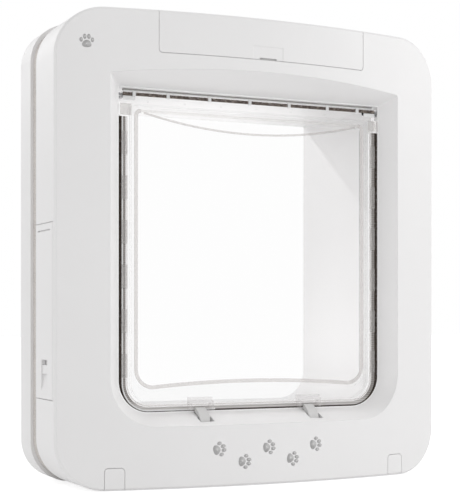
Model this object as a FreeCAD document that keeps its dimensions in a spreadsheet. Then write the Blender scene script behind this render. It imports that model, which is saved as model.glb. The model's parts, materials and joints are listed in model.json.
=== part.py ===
import FreeCAD, Part
import math
import os
from types import SimpleNamespace

import Sketcher
from FreeCAD import Placement, Rotation, Vector
from fcgear import fcgear, involute

os.makedirs("parts", exist_ok=True)
doc = FreeCAD.newDocument("cat_flap")

# Driving sizes in millimetres. Depth runs along +Y from the room side to the garden side,
# and the edge plane is the plane of the fascia's left and right front edges.
sizes = {
    # indoor housing
    "half_width": 131.0,
    "full_height": 285.6,
    "corner_radius": 29.0,
    "crown_rise": 17.5,
    "side_depth": 38.0,
    "wall": 2.5,
    "rim_bevel": 1.2,
    "back_chamfer": 0.9,
    "part_gap": 0.2,
    # foam, outdoor frame and tunnel tail behind the housing
    "gasket_depth": 11.0,
    "gasket_inset": 2.0,
    "gasket_width": 17.0,
    "frame_depth": 23.6,
    "frame_corner": 25.5,
    "frame_wall": 2.5,
    "frame_bevel": 2.2,
    "frame_fit": 0.4,
    "tunnel_tail": 34.9,
    # tunnel through the door
    "side_rail": 40.5,
    "header_height": 44.6,
    "tunnel_floor": 44.5,
    "tunnel_low_radius": 20.0,
    "tunnel_top_radius": 1.0,
    "tunnel_wall": 2.2,
    # bevelled reveal round the opening
    "reveal_depth": 3.0,
    "side_flare": 0.8,
    "top_flare": 0.576,
    "sill_drop": 7.3,
    "sill_arc_radius": 950.0,
    "reveal_low_radius": 34.0,
    "reveal_overrun": 2.0,
    "lip_tab_width": 14.0,
    "lip_tab_place": 30.3,
    "lip_tab_drop": 2.7,
    "lip_tab_depth": 1.6,
    # clear flap
    "brush_reach": 2.6,
    "brush_clear": 0.3,
    "low_brush_reach": 0.9,
    "rail_back_step": 0.2,
    "rail_depth": 4.6,
    "rail_width": 5.8,
    "low_rail_width": 4.4,
    "rail_low_radius": 17.0,
    "web_depth": 2.0,
    "hinge_drop": 5.0,
    "barrel_radius": 2.4,
    "barrel_end_gap": 0.6,
    "pin_radius": 1.5,
    "pin_grip": 10.0,
    "pin_clear": 0.05,
    "window_inset": 8.1,
    "window_low_inset": 14.3,
    "window_top_drop": 8.8,
    "window_radius": 10.5,
    "ridge_width": 2.3,
    "line_width": 0.8,
    "ridge_rise": 0.7,
    "sag_radius": 304.0,
    "sag_depth": 10.0,
    "low_line_radius": 850.0,
    "window_top_radius": 3.2,
    "rail_top_radius": 1.0,
    # brush strips
    "brush_thick": 1.2,
    "brush_grip": 3.0,
    "side_brush_drop": 17.7,
    "top_brush_tall": 1.5,
    "top_brush_low": 0.1,
    "top_brush_thick": 0.8,
    "brush_end_radius": 0.5,
    # retaining clips of the brush channel
    "clip_length": 13.4,
    "clip_width": 2.0,
    "clip_rise": 0.5,
    "clip_foot": 20.3,
    "clip_top_gap": 9.9,
    "clip_strip_inset": 2.5,
    "clip_rows": 6.0,
    "top_clip_inset": 10.6,
    "top_clip_width": 1.7,
    "top_clip_rise": 0.3,
    "top_clip_shift": 3.1,
    # lock: two claws on one shaft, worked by a motor through a gear pair
    "claw_place": 37.6,
    "claw_width": 6.6,
    "claw_outer": 17.0,
    "claw_thick": 3.0,
    "claw_tip_angle": 113.0,
    "claw_sweep": 82.0,
    "claw_arm_sweep": 18.0,
    "claw_hub_radius": 3.2,
    "pivot_drop": 13.0,
    "pivot_back": 5.0,
    "shaft_radius": 1.5,
    "shaft_clear": 0.05,
    "shaft_over": 1.2,
    "slot_width": 9.2,
    "slot_margin": 1.8,
    "slot_length": 6.7,
    "slot_side_gap": 0.5,
    "lug_width": 2.6,
    "lug_clear": 0.5,
    "lug_radius": 3.4,
    "gear_module": 0.6,
    "gear_teeth": 30.0,
    "pinion_teeth": 12.0,
    "gear_backlash": 0.15,
    "gear_width": 4.0,
    "gear_place": 5.0,
    "gear_sector": 78.0,
    "gear_start": 207.0,
    "pinion_width": 5.0,
    "motor_radius": 6.0,
    "motor_length": 22.0,
    "motor_gap": 2.0,
    "motor_shaft_radius": 1.0,
    "motor_shaft_grip": 5.0,
    "cradle_wall": 2.0,
    # catch brackets and corner blocks on the flap
    "bracket_width": 15.6,
    "bracket_low": 1.2,
    "bracket_high": 8.9,
    "bracket_reach": 5.2,
    "bracket_wall": 1.4,
    "bracket_step": 2.0,
    "corner_drop": 12.2,
    "corner_tall": 7.4,
    "corner_side": 1.8,
    # cover over the buttons at the top
    "top_cover_half": 70.0,
    "top_cover_height": 25.3,
    "top_cover_wrap": 42.5,
    "top_cover_corner": 2.0,
    "notch_width": 11.6,
    "notch_height": 1.0,
    "press_half": 10.2,
    "press_height": 8.1,
    "press_depth": 0.12,
    # caps over the lower fixing screws
    "cap_width": 11.7,
    "cap_height": 13.2,
    "cap_inset": 34.5,
    "cap_wrap": 8.0,
    "cap_corner": 2.2,
    # battery bays, covers and catches
    "cell_radius": 13.1,
    "cell_length": 49.0,
    "cell_nub_radius": 3.3,
    "cell_nub": 1.0,
    "cell_clear": 0.4,
    "bay_low": 53.4,
    "bay_wall": 1.6,
    "bay_front": 2.6,
    "contact_thick": 0.6,
    "spring_rise": 3.7,
    "spring_half": 9.0,
    "spring_thick": 0.4,
    "battery_cover_front": 3.2,
    "battery_cover_proud": 0.2,
    "battery_cover_back": 0.8,
    "battery_cover_margin": 0.9,
    "cover_bevel": 0.5,
    "groove_margin": 4.5,
    "groove_drop": 4.8,
    "groove_height": 0.8,
    "groove_depth": 1.0,
    "catch_slot_front": 13.8,
    "catch_slot_width": 11.3,
    "catch_scoop_low": 4.9,
    "catch_scoop_height": 9.9,
    "scoop_depth": 1.8,
    "catch_slot_height": 8.7,
    "catch_travel": 2.8,
    "catch_skirt": 4.0,
    "catch_sunk": 0.4,
    "catch_plate": 1.6,
    "catch_flange": 1.5,
    "catch_rail": 1.2,
    "catch_lip": 1.4,
    "catch_lip_thick": 0.6,
    "catch_room": 2.6,
    # electronics
    "board_half": 46.0,
    "board_rise": 9.0,
    "board_height": 29.0,
    "board_thick": 1.6,
    "board_setback": 13.5,
    "button_place": 22.0,
    "button_height": 21.0,
    "button_cap_radius": 3.2,
    "button_stem_radius": 1.7,
    "button_travel": 1.2,
    "button_cap": 2.2,
    "chip_half": 5.0,
    "chip_rise": 1.2,
    "lamp_radius": 1.5,
    "lamp_rise": 5.0,
    "lamp_flange": 0.5,
    "post_inset": 5.0,
    "post_radius": 2.2,
    "switch_half": 3.0,
    "switch_rise": 3.5,
    "stem_clear": 0.05,
    "coil_gap": 0.3,
    "coil_thick": 2.0,
    "coil_depth": 8.0,
    "coil_place": 24.0,
    # screws and their pillars
    "screw_radius": 2.0,
    "screw_clear": 0.15,
    "screw_head_radius": 3.9,
    "screw_head": 2.4,
    "pillar_radius": 4.4,
    "low_screw_height": 7.6,
    "top_screw_place": 60.0,
    "top_screw_drop": 13.6,
    "screw_reach": 15.0,
    "hook_width": 9.0,
    "hook_thick": 1.8,
    "hook_length": 9.0,
    "hook_barb": 1.1,
    "hook_height": 200.0,
    "hook_top_place": 92.0,
    "hook_low_place": 45.0,
    "foam_slot": 5.0,
}

sheet = doc.addObject("Spreadsheet::Sheet", "dims")
for row, (alias, number) in enumerate(sizes.items(), start=1):
    sheet.set("A" + str(row), alias)
    sheet.set("B" + str(row), str(number))
    sheet.setAlias("B" + str(row), alias)
doc.recompute()


# A number together with the sheet expression that gives it
class Size:
    def __init__(self, value, text):
        self.value = float(value)
        self.text = text

    def __float__(self):
        return self.value

    def join(self, symbol, other, result):
        return Size(result, "(" + self.text + " " + symbol + " " + text_of(other) + ")")

    def __add__(self, other):
        return self.join("+", other, self.value + float(other))

    def __sub__(self, other):
        return self.join("-", other, self.value - float(other))

    def __mul__(self, other):
        return self.join("*", other, self.value * float(other))

    def __truediv__(self, other):
        return self.join("/", other, self.value / float(other))

    def __radd__(self, other):
        return as_size(other) + self

    def __rsub__(self, other):
        return as_size(other) - self

    def __rmul__(self, other):
        return as_size(other) * self

    def __neg__(self):
        return as_size(0.0) - self


def text_of(value):
    return value.text if isinstance(value, Size) else repr(float(value))


def as_size(value):
    return value if isinstance(value, Size) else Size(value, repr(float(value)))


def root(value):
    return Size(math.sqrt(value.value), "sqrt(" + value.text + ")")


def arcsine(value):
    return Size(math.degrees(math.asin(value.value)), "asin(" + value.text + ")")


s = SimpleNamespace(**{alias: Size(sheet.get(alias), "dims." + alias) for alias in sizes})

# Planes and outlines that several parts share
total_depth = s.crown_rise + s.side_depth + s.gasket_depth + s.frame_depth + s.tunnel_tail
edge_y = s.crown_rise - total_depth / 2
front_y = edge_y - s.crown_rise
reveal_y = edge_y + s.reveal_depth
back_y = edge_y + s.side_depth
gasket_y = back_y + s.gasket_depth
frame_y = gasket_y + s.frame_depth
tunnel_end_y = frame_y + s.tunnel_tail
plate_y = back_y - s.wall
tunnel_half = s.half_width - s.side_rail
tunnel_top = s.full_height - s.header_height
crown_radius = (s.half_width * s.half_width + s.crown_rise * s.crown_rise) / (2 * s.crown_rise)


def bind(thing, path, value):
    thing.setExpression(path, text_of(value))


def box(name, x_span, y_span, z_span):
    solid = doc.addObject("Part::Box", name)
    for side, axis, span in zip(("Length", "Width", "Height"), "xyz", (x_span, y_span, z_span)):
        bind(solid, side, span[1] - span[0])
        bind(solid, "Placement.Base." + axis, span[0])
    return solid


# Turns that lay a cylinder's own Z axis along a world axis
turns = {
    "x": Rotation(Vector(0, 1, 0), 90),
    "y": Rotation(Vector(1, 0, 0), -90),
    "z": Rotation(),
}


def rod(name, axis, start, radius, length):
    solid = doc.addObject("Part::Cylinder", name)
    solid.Placement = Placement(Vector(), turns[axis])
    bind(solid, "Radius", radius)
    bind(solid, "Height", length)
    for letter, place in zip("xyz", start):
        bind(solid, "Placement.Base." + letter, place)
    return solid


# A slice of a disc whose axis is X; angles run from +Y towards +Z
def pie(name, centre_y, centre_z, radius, start_angle, sweep, x_span):
    solid = doc.addObject("Part::Cylinder", name)
    start = math.radians(float(start_angle))
    along = Vector(0, math.cos(start), math.sin(start))
    across = Vector(0, -math.sin(start), math.cos(start))
    solid.Placement = Placement(Vector(), Rotation(along, across, Vector(1, 0, 0), "ZXY"))
    bind(solid, "Radius", radius)
    bind(solid, "Height", x_span[1] - x_span[0])
    bind(solid, "Angle", sweep)
    for letter, place in zip("xyz", (x_span[0], centre_y, centre_z)):
        bind(solid, "Placement.Base." + letter, place)
    return solid


def fuse(name, shapes):
    if len(shapes) == 1:
        return shapes[0]
    result = doc.addObject("Part::MultiFuse", name)
    result.Shapes = shapes
    return result


def cut(name, base, tools):
    result = doc.addObject("Part::Cut", name)
    result.Base = base
    result.Tool = fuse(name + "_tools", tools)
    return result


def common(name, first, second):
    result = doc.addObject("Part::MultiCommon", name)
    result.Shapes = [first, second]
    return result


# Sketches and pads

def sketch_on(body, name, role, offset):
    sketch = body.newObject("Sketcher::SketchObject", name)
    plane = next(item for item in body.Origin.OriginFeatures if item.Role == role)
    sketch.AttachmentSupport = [(plane, "")]
    sketch.MapMode = "FlatFace"
    for axis, place in zip("xyz", offset):
        bind(sketch, "AttachmentOffset.Base." + axis, place)
    return sketch


def measure(sketch, *parts):
    value = parts[-1]
    index = sketch.addConstraint(Sketcher.Constraint(*parts[:-1], float(value)))
    bind(sketch, "Constraints[" + str(index) + "]", value)


# A corner lies on the sketch's axis where its distance is zero
def place(sketch, letter, index, spot, distance):
    if float(distance) == 0.0:
        axis = -2 if letter == "X" else -1
        sketch.addConstraint(Sketcher.Constraint("PointOnObject", index, spot, axis))
        return
    measure(sketch, "Distance" + letter, -1, 1, index, spot, distance)


def pad_up(body, sketch, length):
    pad = body.newObject("PartDesign::Pad", body.Name + "_pad")
    pad.Profile = sketch
    bind(pad, "Length", length)
    sketch.Visibility = False
    return body


def point(x, z):
    return Vector(x, z, 0)


def arc(x, z, radius, start, end):
    circle = Part.Circle(point(x, z), Vector(0, 0, 1), radius)
    return Part.ArcOfCircle(circle, math.radians(start), math.radians(end))


# A rectangle with rounded corners, centred on X = 0
def outline(half, low, high, low_radius, top_radius):
    return SimpleNamespace(half=half, low=low, high=high, low_radius=low_radius, top_radius=top_radius)


def grown(shape, by):
    return outline(shape.half + by, shape.low - by, shape.high + by,
                   shape.low_radius + by, shape.top_radius + by)


# The outline is drawn in the corner of a sketch, left and low being its offsets from there.
# With a sill radius its lower edge is a long arc that rises towards the middle.
def add_outline(sketch, shape, left, low, sill_radius=None):
    width = float(2 * shape.half)
    height = float(shape.high - shape.low)
    x0, z0 = float(left), float(low)
    x1, z1 = x0 + width, z0 + height
    r_low, r_top = float(shape.low_radius), float(shape.top_radius)
    first = sketch.GeometryCount
    lean = 0.0
    touch_x, centre_z = x1 - r_low, z0 + r_low
    lower = Part.LineSegment(point(touch_x, z0), point(x0 + r_low, z0))
    if sill_radius is not None:
        r_sill = float(sill_radius)
        reach = width / 2 - r_low
        drop = math.sqrt((r_sill + r_low) ** 2 - reach ** 2)
        centre_z = z0 - r_sill + drop
        lean = math.degrees(math.atan2(reach, drop))
        lower = arc(x0 + width / 2, z0 - r_sill, r_sill, 90 - lean, 90 + lean)
    sketch.addGeometry(lower)
    sketch.addGeometry(arc(x1 - r_low, centre_z, r_low, -90 - lean, 0))
    sketch.addGeometry(Part.LineSegment(point(x1, centre_z), point(x1, z1 - r_top)))
    sketch.addGeometry(arc(x1 - r_top, z1 - r_top, r_top, 0, 90))
    sketch.addGeometry(Part.LineSegment(point(x1 - r_top, z1), point(x0 + r_top, z1)))
    sketch.addGeometry(arc(x0 + r_top, z1 - r_top, r_top, 90, 180))
    sketch.addGeometry(Part.LineSegment(point(x0, z1 - r_top), point(x0, centre_z)))
    sketch.addGeometry(arc(x0 + r_low, centre_z, r_low, 180, 270 + lean))
    base, low_right, right, top_right, top, top_left, left_edge, low_left = range(first, first + 8)
    for one, end, other, start in ((base, 1, low_right, 1), (low_right, 2, right, 1),
                                   (right, 2, top_right, 1), (top_right, 2, top, 1),
                                   (top, 2, top_left, 1), (top_left, 2, left_edge, 1),
                                   (left_edge, 2, low_left, 1), (low_left, 2, base, 2)):
        sketch.addConstraint(Sketcher.Constraint("Tangent", one, end, other, start))
    sketch.addConstraint(Sketcher.Constraint("Vertical", right))
    sketch.addConstraint(Sketcher.Constraint("Vertical", left_edge))
    sketch.addConstraint(Sketcher.Constraint("Horizontal", top))
    sketch.addConstraint(Sketcher.Constraint("Equal", low_right, low_left))
    sketch.addConstraint(Sketcher.Constraint("Equal", top_right, top_left))
    measure(sketch, "Radius", low_right, shape.low_radius)
    measure(sketch, "Radius", top_right, shape.top_radius)
    measure(sketch, "DistanceX", left_edge, 1, right, 1, 2 * shape.half)
    place(sketch, "X", left_edge, 1, left)
    if sill_radius is not None:
        sketch.addConstraint(Sketcher.Constraint("Tangent", base, -1))
        measure(sketch, "DistanceX", -1, 1, base, 3, shape.half)
        measure(sketch, "Radius", base, sill_radius)
        measure(sketch, "DistanceY", -1, 1, top, 1, shape.high - shape.low)
        return
    sketch.addConstraint(Sketcher.Constraint("Horizontal", base))
    measure(sketch, "DistanceY", base, 1, top, 1, shape.high - shape.low)
    place(sketch, "Y", base, 1, low)


# A plain rectangle from the sketch's corner
def add_rectangle(sketch, corner, width, height):
    x0, z0, x1, z1 = float(corner), 0.0, float(corner) + float(width), float(height)
    spots = [point(x0, z0), point(x1, z0), point(x1, z1), point(x0, z1)]
    for index in range(4):
        sketch.addGeometry(Part.LineSegment(spots[index], spots[(index + 1) % 4]))
    for index in range(4):
        sketch.addConstraint(Sketcher.Constraint("Coincident", index, 2, (index + 1) % 4, 1))
    for index, kind in enumerate(("Horizontal", "Vertical", "Horizontal", "Vertical")):
        sketch.addConstraint(Sketcher.Constraint(kind, index))
    place(sketch, "X", 0, 1, corner)
    place(sketch, "Y", 0, 1, 0)
    measure(sketch, "DistanceX", 0, 1, 0, 2, width)
    measure(sketch, "DistanceY", 1, 1, 1, 2, height)


# Slab of one outline, or a ring between two, from one depth back to another
def slab(name, shape, near_y, far_y, hole=None, sill_radius=None):
    body = doc.addObject("PartDesign::Body", name)
    sketch = sketch_on(body, name + "_outline", "XZ_Plane", (-shape.half, shape.low, -far_y))
    add_outline(sketch, shape, 0, 0, sill_radius)
    if hole is not None:
        add_outline(sketch, hole, shape.half - hole.half, hole.low - shape.low)
    return pad_up(body, sketch, far_y - near_y)


# Solid between two outlines at two depths, each face ruled from one to the other
def funnel(name, front_shape, front_plane, back_shape, back_plane, sill_radius):
    body = doc.addObject("PartDesign::Body", name)
    front = sketch_on(body, name + "_front", "XZ_Plane",
                      (-front_shape.half, front_shape.low, -front_plane))
    add_outline(front, front_shape, 0, 0, sill_radius)
    back = sketch_on(body, name + "_back", "XZ_Plane",
                     (-back_shape.half, back_shape.low, -back_plane))
    add_outline(back, back_shape, 0, 0)
    loft = body.newObject("PartDesign::AdditiveLoft", name + "_loft")
    loft.Profile = front
    loft.Sections = [back]
    loft.Ruled = True
    return body


# Block whose front is an upright cylinder, crowned towards the room
def crowned(name, half, rise, radius, chord_y, far_y, low, high):
    body = doc.addObject("PartDesign::Body", name)
    sketch = sketch_on(body, name + "_plan", "XY_Plane", (-half, chord_y, low))
    width, depth = float(2 * half), float(far_y - chord_y)
    bend = math.degrees(math.asin(width / 2 / float(radius)))
    corners = [point(0, 0), point(width, 0), point(width, depth), point(0, depth)]
    sketch.addGeometry(arc(width / 2, float(radius - rise), float(radius), -90 - bend, -90 + bend))
    for start, end in ((1, 2), (2, 3), (3, 0)):
        sketch.addGeometry(Part.LineSegment(corners[start], corners[end]))
    for one, other in ((0, 1), (1, 2), (2, 3), (3, 0)):
        sketch.addConstraint(Sketcher.Constraint("Coincident", one, 2, other, 1))
    sketch.addConstraint(Sketcher.Constraint("Vertical", 1))
    sketch.addConstraint(Sketcher.Constraint("Horizontal", 2))
    sketch.addConstraint(Sketcher.Constraint("Vertical", 3))
    sketch.addConstraint(Sketcher.Constraint("Coincident", 0, 1, -1, 1))
    sketch.addConstraint(Sketcher.Constraint("PointOnObject", 0, 2, -1))
    measure(sketch, "DistanceX", 0, 1, 0, 2, 2 * half)
    measure(sketch, "Radius", 0, radius)
    measure(sketch, "DistanceY", 1, 1, 1, 2, far_y - chord_y)
    return pad_up(body, sketch, high - low)


# Straight-sided prism; its corners are measured from the sketch's own corner
def prism(name, role, corners, offset, length):
    body = doc.addObject("PartDesign::Body", name)
    sketch = sketch_on(body, name + "_profile", role, offset)
    spots = [point(float(across), float(up)) for across, up in corners]
    count = len(spots)
    for index in range(count):
        sketch.addGeometry(Part.LineSegment(spots[index], spots[(index + 1) % count]))
    for index, (across, up) in enumerate(corners):
        sketch.addConstraint(Sketcher.Constraint("Coincident", index, 2, (index + 1) % count, 1))
        place(sketch, "X", index, 1, across)
        place(sketch, "Y", index, 1, up)
    return pad_up(body, sketch, length)


# Fillet or chamfer of the edges whose every sampled point passes a test
def blend(name, kind, base, radius, test):
    doc.recompute()
    picked = []
    for index, edge in enumerate(base.Shape.Edges, start=1):
        samples = [vertex.Point for vertex in edge.Vertexes]
        samples.append(edge.valueAt((edge.FirstParameter + edge.LastParameter) / 2))
        if all(test(sample) for sample in samples):
            picked.append((index, float(radius), float(radius)))
    result = doc.addObject(kind, name)
    result.Base = base
    result.Edges = picked
    return result


# A box whose two corners at the given height are rounded, seen from the front
def rounded_box(name, x_span, y_span, z_span, height, radius):
    def on_corner(spot):
        return near(spot.z, height) and (near(spot.x, x_span[0]) or near(spot.x, x_span[1]))
    return blend(name, "Part::Fillet", box(name + "_block", x_span, y_span, z_span), radius, on_corner)


def mirrored(name, source):
    result = doc.addObject("Part::Mirroring", name)
    result.Source = source
    result.Normal = Vector(1, 0, 0)
    return result


def near(one, other):
    return abs(one - float(other)) < 0.001


def middle(span):
    return (span[0] + span[1]) / 2


def side_span(sign, low, high):
    return (low, high) if sign > 0 else (-high, -low)


# Front fascia: a crowned shell with a bevelled reveal
fascia_plan = outline(s.half_width, 0 * s.full_height, s.full_height, s.corner_radius, s.corner_radius)
cavity_plan = grown(fascia_plan, -s.wall)
tunnel_bore = outline(tunnel_half, s.tunnel_floor, tunnel_top, s.tunnel_low_radius, s.tunnel_top_radius)
tunnel_skin = grown(tunnel_bore, s.tunnel_wall)

reveal_front_y = front_y - s.reveal_overrun
reveal_run = reveal_y - reveal_front_y
sill_fall = s.sill_drop * reveal_run / (reveal_y - front_y)
reveal_front = outline(tunnel_half + s.side_flare * reveal_run, s.tunnel_floor - sill_fall,
                       tunnel_top + s.top_flare * reveal_run, s.reveal_low_radius, s.tunnel_top_radius)

fascia_bulk = crowned("fascia_bulk", s.half_width, s.crown_rise, crown_radius,
                      edge_y, back_y, 0 * s.wall, s.full_height)
fascia_face = slab("fascia_face", fascia_plan, reveal_front_y, back_y)
fascia_block = common("fascia_block", fascia_bulk, fascia_face)

crown_axis_y = front_y + crown_radius


def on_crown(spot):
    reach = math.hypot(spot.x, spot.y - float(crown_axis_y))
    return near(reach, crown_radius)


def on_back(spot):
    return near(spot.y, back_y)


fascia_rimmed = blend("fascia_rimmed", "Part::Chamfer", fascia_block, s.rim_bevel, on_crown)
fascia_outer = blend("fascia_outer", "Part::Chamfer", fascia_rimmed, s.back_chamfer, on_back)

inner_half = s.half_width - s.wall
inner_radius = crown_radius - s.wall
inner_rise = inner_radius - root(inner_radius * inner_radius - inner_half * inner_half)
cavity_bulk = crowned("cavity_bulk", inner_half, inner_rise, inner_radius,
                      front_y + s.wall + inner_rise, back_y, s.wall, s.full_height - s.wall)
cavity_face = slab("cavity_face", cavity_plan, reveal_front_y, back_y)
fascia_cavity = common("fascia_cavity", cavity_bulk, cavity_face)
fascia_shell = cut("fascia_shell", fascia_outer, [fascia_cavity])

reveal_skin = funnel("reveal_skin", grown(reveal_front, s.wall), reveal_front_y,
                     grown(tunnel_bore, s.wall), reveal_y, s.sill_arc_radius)
reveal_hole = funnel("reveal_hole", reveal_front, reveal_front_y, tunnel_bore, reveal_y,
                     s.sill_arc_radius)
reveal_wall = common("reveal_wall", fascia_outer, reveal_skin)

# Small tabs on the lip over the flap
lip_tabs = [box("lip_tab_" + str(index),
                (side * s.lip_tab_place - s.top_clip_shift - s.lip_tab_width / 2,
                 side * s.lip_tab_place - s.top_clip_shift + s.lip_tab_width / 2),
                (reveal_y - s.lip_tab_depth - s.part_gap, reveal_y - s.part_gap),
                (tunnel_top - s.lip_tab_drop, tunnel_top + s.wall / 2))
            for index, side in enumerate((-1, 1))]

# Openings in the fascia: claw slots, top cover, screw caps and battery covers
pivot_y = reveal_y + s.pivot_back
pivot_z = s.tunnel_floor - s.pivot_drop
slot_front_y = pivot_y - s.claw_outer - s.slot_margin
claw_slots = []
for side, label in ((-1, "left"), (1, "right")):
    for part, width, reach in (("front", s.slot_width, s.slot_length),
                               ("back", s.claw_width + 2 * s.slot_side_gap, reveal_y - slot_front_y)):
        claw_slots.append(box("claw_slot_" + part + "_" + label,
                              (side * s.claw_place - width / 2, side * s.claw_place + width / 2),
                              (slot_front_y, slot_front_y + reach), (pivot_z, s.tunnel_floor)))

top_cover_low = s.full_height - s.top_cover_height
top_cover_back = front_y + s.top_cover_wrap
top_window_low = top_cover_low - s.part_gap
top_window = rounded_box("top_window", (-s.top_cover_half - s.part_gap, s.top_cover_half + s.part_gap),
                         (reveal_front_y, top_cover_back + s.part_gap), (top_window_low, s.full_height + s.wall),
                         top_window_low, s.top_cover_corner + s.part_gap)

cap_x = s.half_width - s.cap_inset
cap_back = front_y + s.cap_wrap + s.crown_rise
cap_half = s.cap_width / 2
cap_window_high = s.cap_height + s.part_gap
cap_windows = [rounded_box("cap_window_" + str(index),
                           (side * cap_x - cap_half - s.part_gap, side * cap_x + cap_half + s.part_gap),
                           (reveal_front_y, cap_back + s.part_gap), (-s.wall, cap_window_high),
                           cap_window_high, s.cap_corner + s.part_gap)
               for index, side in enumerate((-1, 1))]

bay_high = s.bay_low + s.spring_rise + 2 * (s.cell_length + s.cell_nub) + s.contact_thick
cover_low = s.bay_low
cover_high = bay_high + s.battery_cover_margin
cover_front_y = edge_y + s.battery_cover_front
cover_windows = [box("battery_window_" + str(index),
                     side_span(side, inner_half - s.wall, s.half_width + s.wall),
                     (cover_front_y - s.part_gap, back_y + s.wall),
                     (cover_low - s.part_gap, cover_high + s.part_gap))
                 for index, side in enumerate((-1, 1))]

# Snap hooks of the rear housing and the pockets they spring into
hooks = []
hook_pockets = []
hook_reach = plate_y - s.hook_length
for index, (axis, spot) in enumerate((("z", -s.hook_low_place), ("z", s.hook_low_place),
                                      ("Z", -s.hook_top_place), ("Z", s.hook_top_place),
                                      ("x", s.hook_height), ("X", s.hook_height))):
    across = (spot - s.hook_width / 2, spot + s.hook_width / 2)
    edge, inward = {"z": (s.wall, 1), "Z": (s.full_height - s.wall, -1),
                    "x": (-inner_half, 1), "X": (inner_half, -1)}[axis]
    skin = edge + inward * s.part_gap
    arm = sorted((skin, skin + inward * s.hook_thick), key=float)
    barb = sorted((skin - inward * s.hook_barb, skin), key=float)
    pocket = sorted((edge - inward * s.hook_barb, edge), key=float)
    barb_y = (hook_reach, hook_reach + s.hook_thick)
    pocket_y = (barb_y[0] - s.part_gap, barb_y[1] + s.part_gap)
    wide = (across[0] - s.part_gap, across[1] + s.part_gap)
    for kind, span, depth, width in (("arm", arm, (hook_reach, plate_y + s.wall / 2), across),
                                     ("barb", barb, barb_y, across), ("pocket", pocket, pocket_y, wide)):
        x_span, z_span = (span, width) if axis in "xX" else (width, span)
        piece = box("hook_" + kind + "_" + str(index), x_span, depth, z_span)
        (hook_pockets if kind == "pocket" else hooks).append(piece)

fascia_solid = fuse("fascia_solid", [fascia_shell, reveal_wall] + lip_tabs)
front_fascia = cut("front_fascia", fascia_solid,
                   [reveal_hole, top_window] + claw_slots + cap_windows + cover_windows + hook_pockets)

# Cover over the buttons: the cut-out piece of the shell, with a finger notch and a press pad
top_cover_piece = common("top_cover_piece", fascia_shell,
                         rounded_box("top_cover_extent", (-s.top_cover_half, s.top_cover_half),
                                     (reveal_front_y, top_cover_back), (top_cover_low, s.full_height),
                                     top_cover_low, s.top_cover_corner))
finger_notch = box("finger_notch", (-s.notch_width / 2, s.notch_width / 2),
                   (reveal_front_y, edge_y), (top_cover_low, top_cover_low + s.notch_height))
press_front = crowned("press_front", s.half_width, s.crown_rise, crown_radius,
                      edge_y + s.press_depth, back_y, top_cover_low, top_cover_low + s.press_height)
press_pad = cut("press_pad", box("press_extent", (-s.press_half, s.press_half), (reveal_front_y, edge_y),
                                 (top_cover_low, top_cover_low + s.press_height)), [press_front])
top_cover = cut("top_cover", top_cover_piece, [finger_notch, press_pad])

# Caps over the lower fixing screws, cut from the same shell
screw_cover_right = common("screw_cover_right", fascia_shell,
                           rounded_box("cap_extent", (cap_x - cap_half, cap_x + cap_half),
                                       (reveal_front_y, cap_back), (0 * s.wall, s.cap_height),
                                       s.cap_height, s.cap_corner))
screw_cover_left = mirrored("screw_cover_left", screw_cover_right)

# Battery covers and their sliding catches
cell_x = inner_half - s.catch_room - s.cell_radius
bay_inner_x = cell_x - s.cell_radius - s.cell_clear
bay_front_y = edge_y + s.bay_front
cell_y = bay_front_y + s.bay_wall + s.cell_clear + s.cell_radius
bay_back_y = cell_y + s.cell_radius + s.cell_clear
cover_back_y = back_y - s.battery_cover_back
cover_face_x = s.half_width + s.battery_cover_proud
slot_y = edge_y + s.catch_slot_front
slot_back_y = slot_y + s.catch_slot_width
scoop_low = cover_low + s.catch_scoop_low
slot_low = scoop_low + s.catch_scoop_height
slot_high = slot_low + s.catch_slot_height
catch_span_y = (slot_y - s.catch_flange, slot_back_y + s.catch_flange)
catch_low = slot_low - s.catch_skirt
catch_high = slot_high + s.catch_skirt
catch_inner_x = inner_half - s.part_gap - s.catch_plate


def on_cover_face(spot):
    return near(spot.x, cover_face_x)


cover_panel = blend("cover_panel", "Part::Chamfer",
                    box("cover_blank", (inner_half, cover_face_x), (cover_front_y, cover_back_y),
                        (cover_low, cover_high)), s.cover_bevel, on_cover_face)
cover_groove = box("cover_groove", (cover_face_x - s.groove_depth, cover_face_x + s.groove_depth),
                   (cover_front_y + s.groove_margin, cover_back_y - s.groove_margin),
                   (cover_high - s.groove_drop, cover_high - s.groove_drop + s.groove_height))
catch_slot = box("catch_slot", (inner_half - s.wall, cover_face_x + s.wall), (slot_y, slot_back_y),
                 (slot_low, slot_high))
catch_scoop = prism("catch_scoop", "XZ_Plane",
                    [(0, s.catch_scoop_height), (s.scoop_depth, 0),
                     (s.scoop_depth + s.wall, 0), (s.scoop_depth + s.wall, s.catch_scoop_height)],
                    (cover_face_x - s.scoop_depth, scoop_low, -slot_back_y), s.catch_slot_width)
catch_rails = []
for end, wall_y in (("front", catch_span_y[0] - s.part_gap - s.catch_rail),
                    ("back", catch_span_y[1] + s.part_gap)):
    lip_y = wall_y if end == "front" else wall_y - s.catch_lip
    catch_rails.append(box("catch_rail_" + end, (catch_inner_x - s.part_gap - s.catch_lip_thick, inner_half),
                           (wall_y, wall_y + s.catch_rail), (catch_low - s.catch_skirt, catch_high)))
    catch_rails.append(box("catch_lip_" + end,
                           (catch_inner_x - s.part_gap - s.catch_lip_thick, catch_inner_x - s.part_gap),
                           (lip_y, lip_y + s.catch_rail + s.catch_lip), (catch_low - s.catch_skirt, catch_high)))
battery_cover_right = cut("battery_cover_right", fuse("cover_with_rails", [cover_panel] + catch_rails),
                          [cover_groove, catch_slot, catch_scoop])
battery_cover_left = mirrored("battery_cover_left", battery_cover_right)

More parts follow.
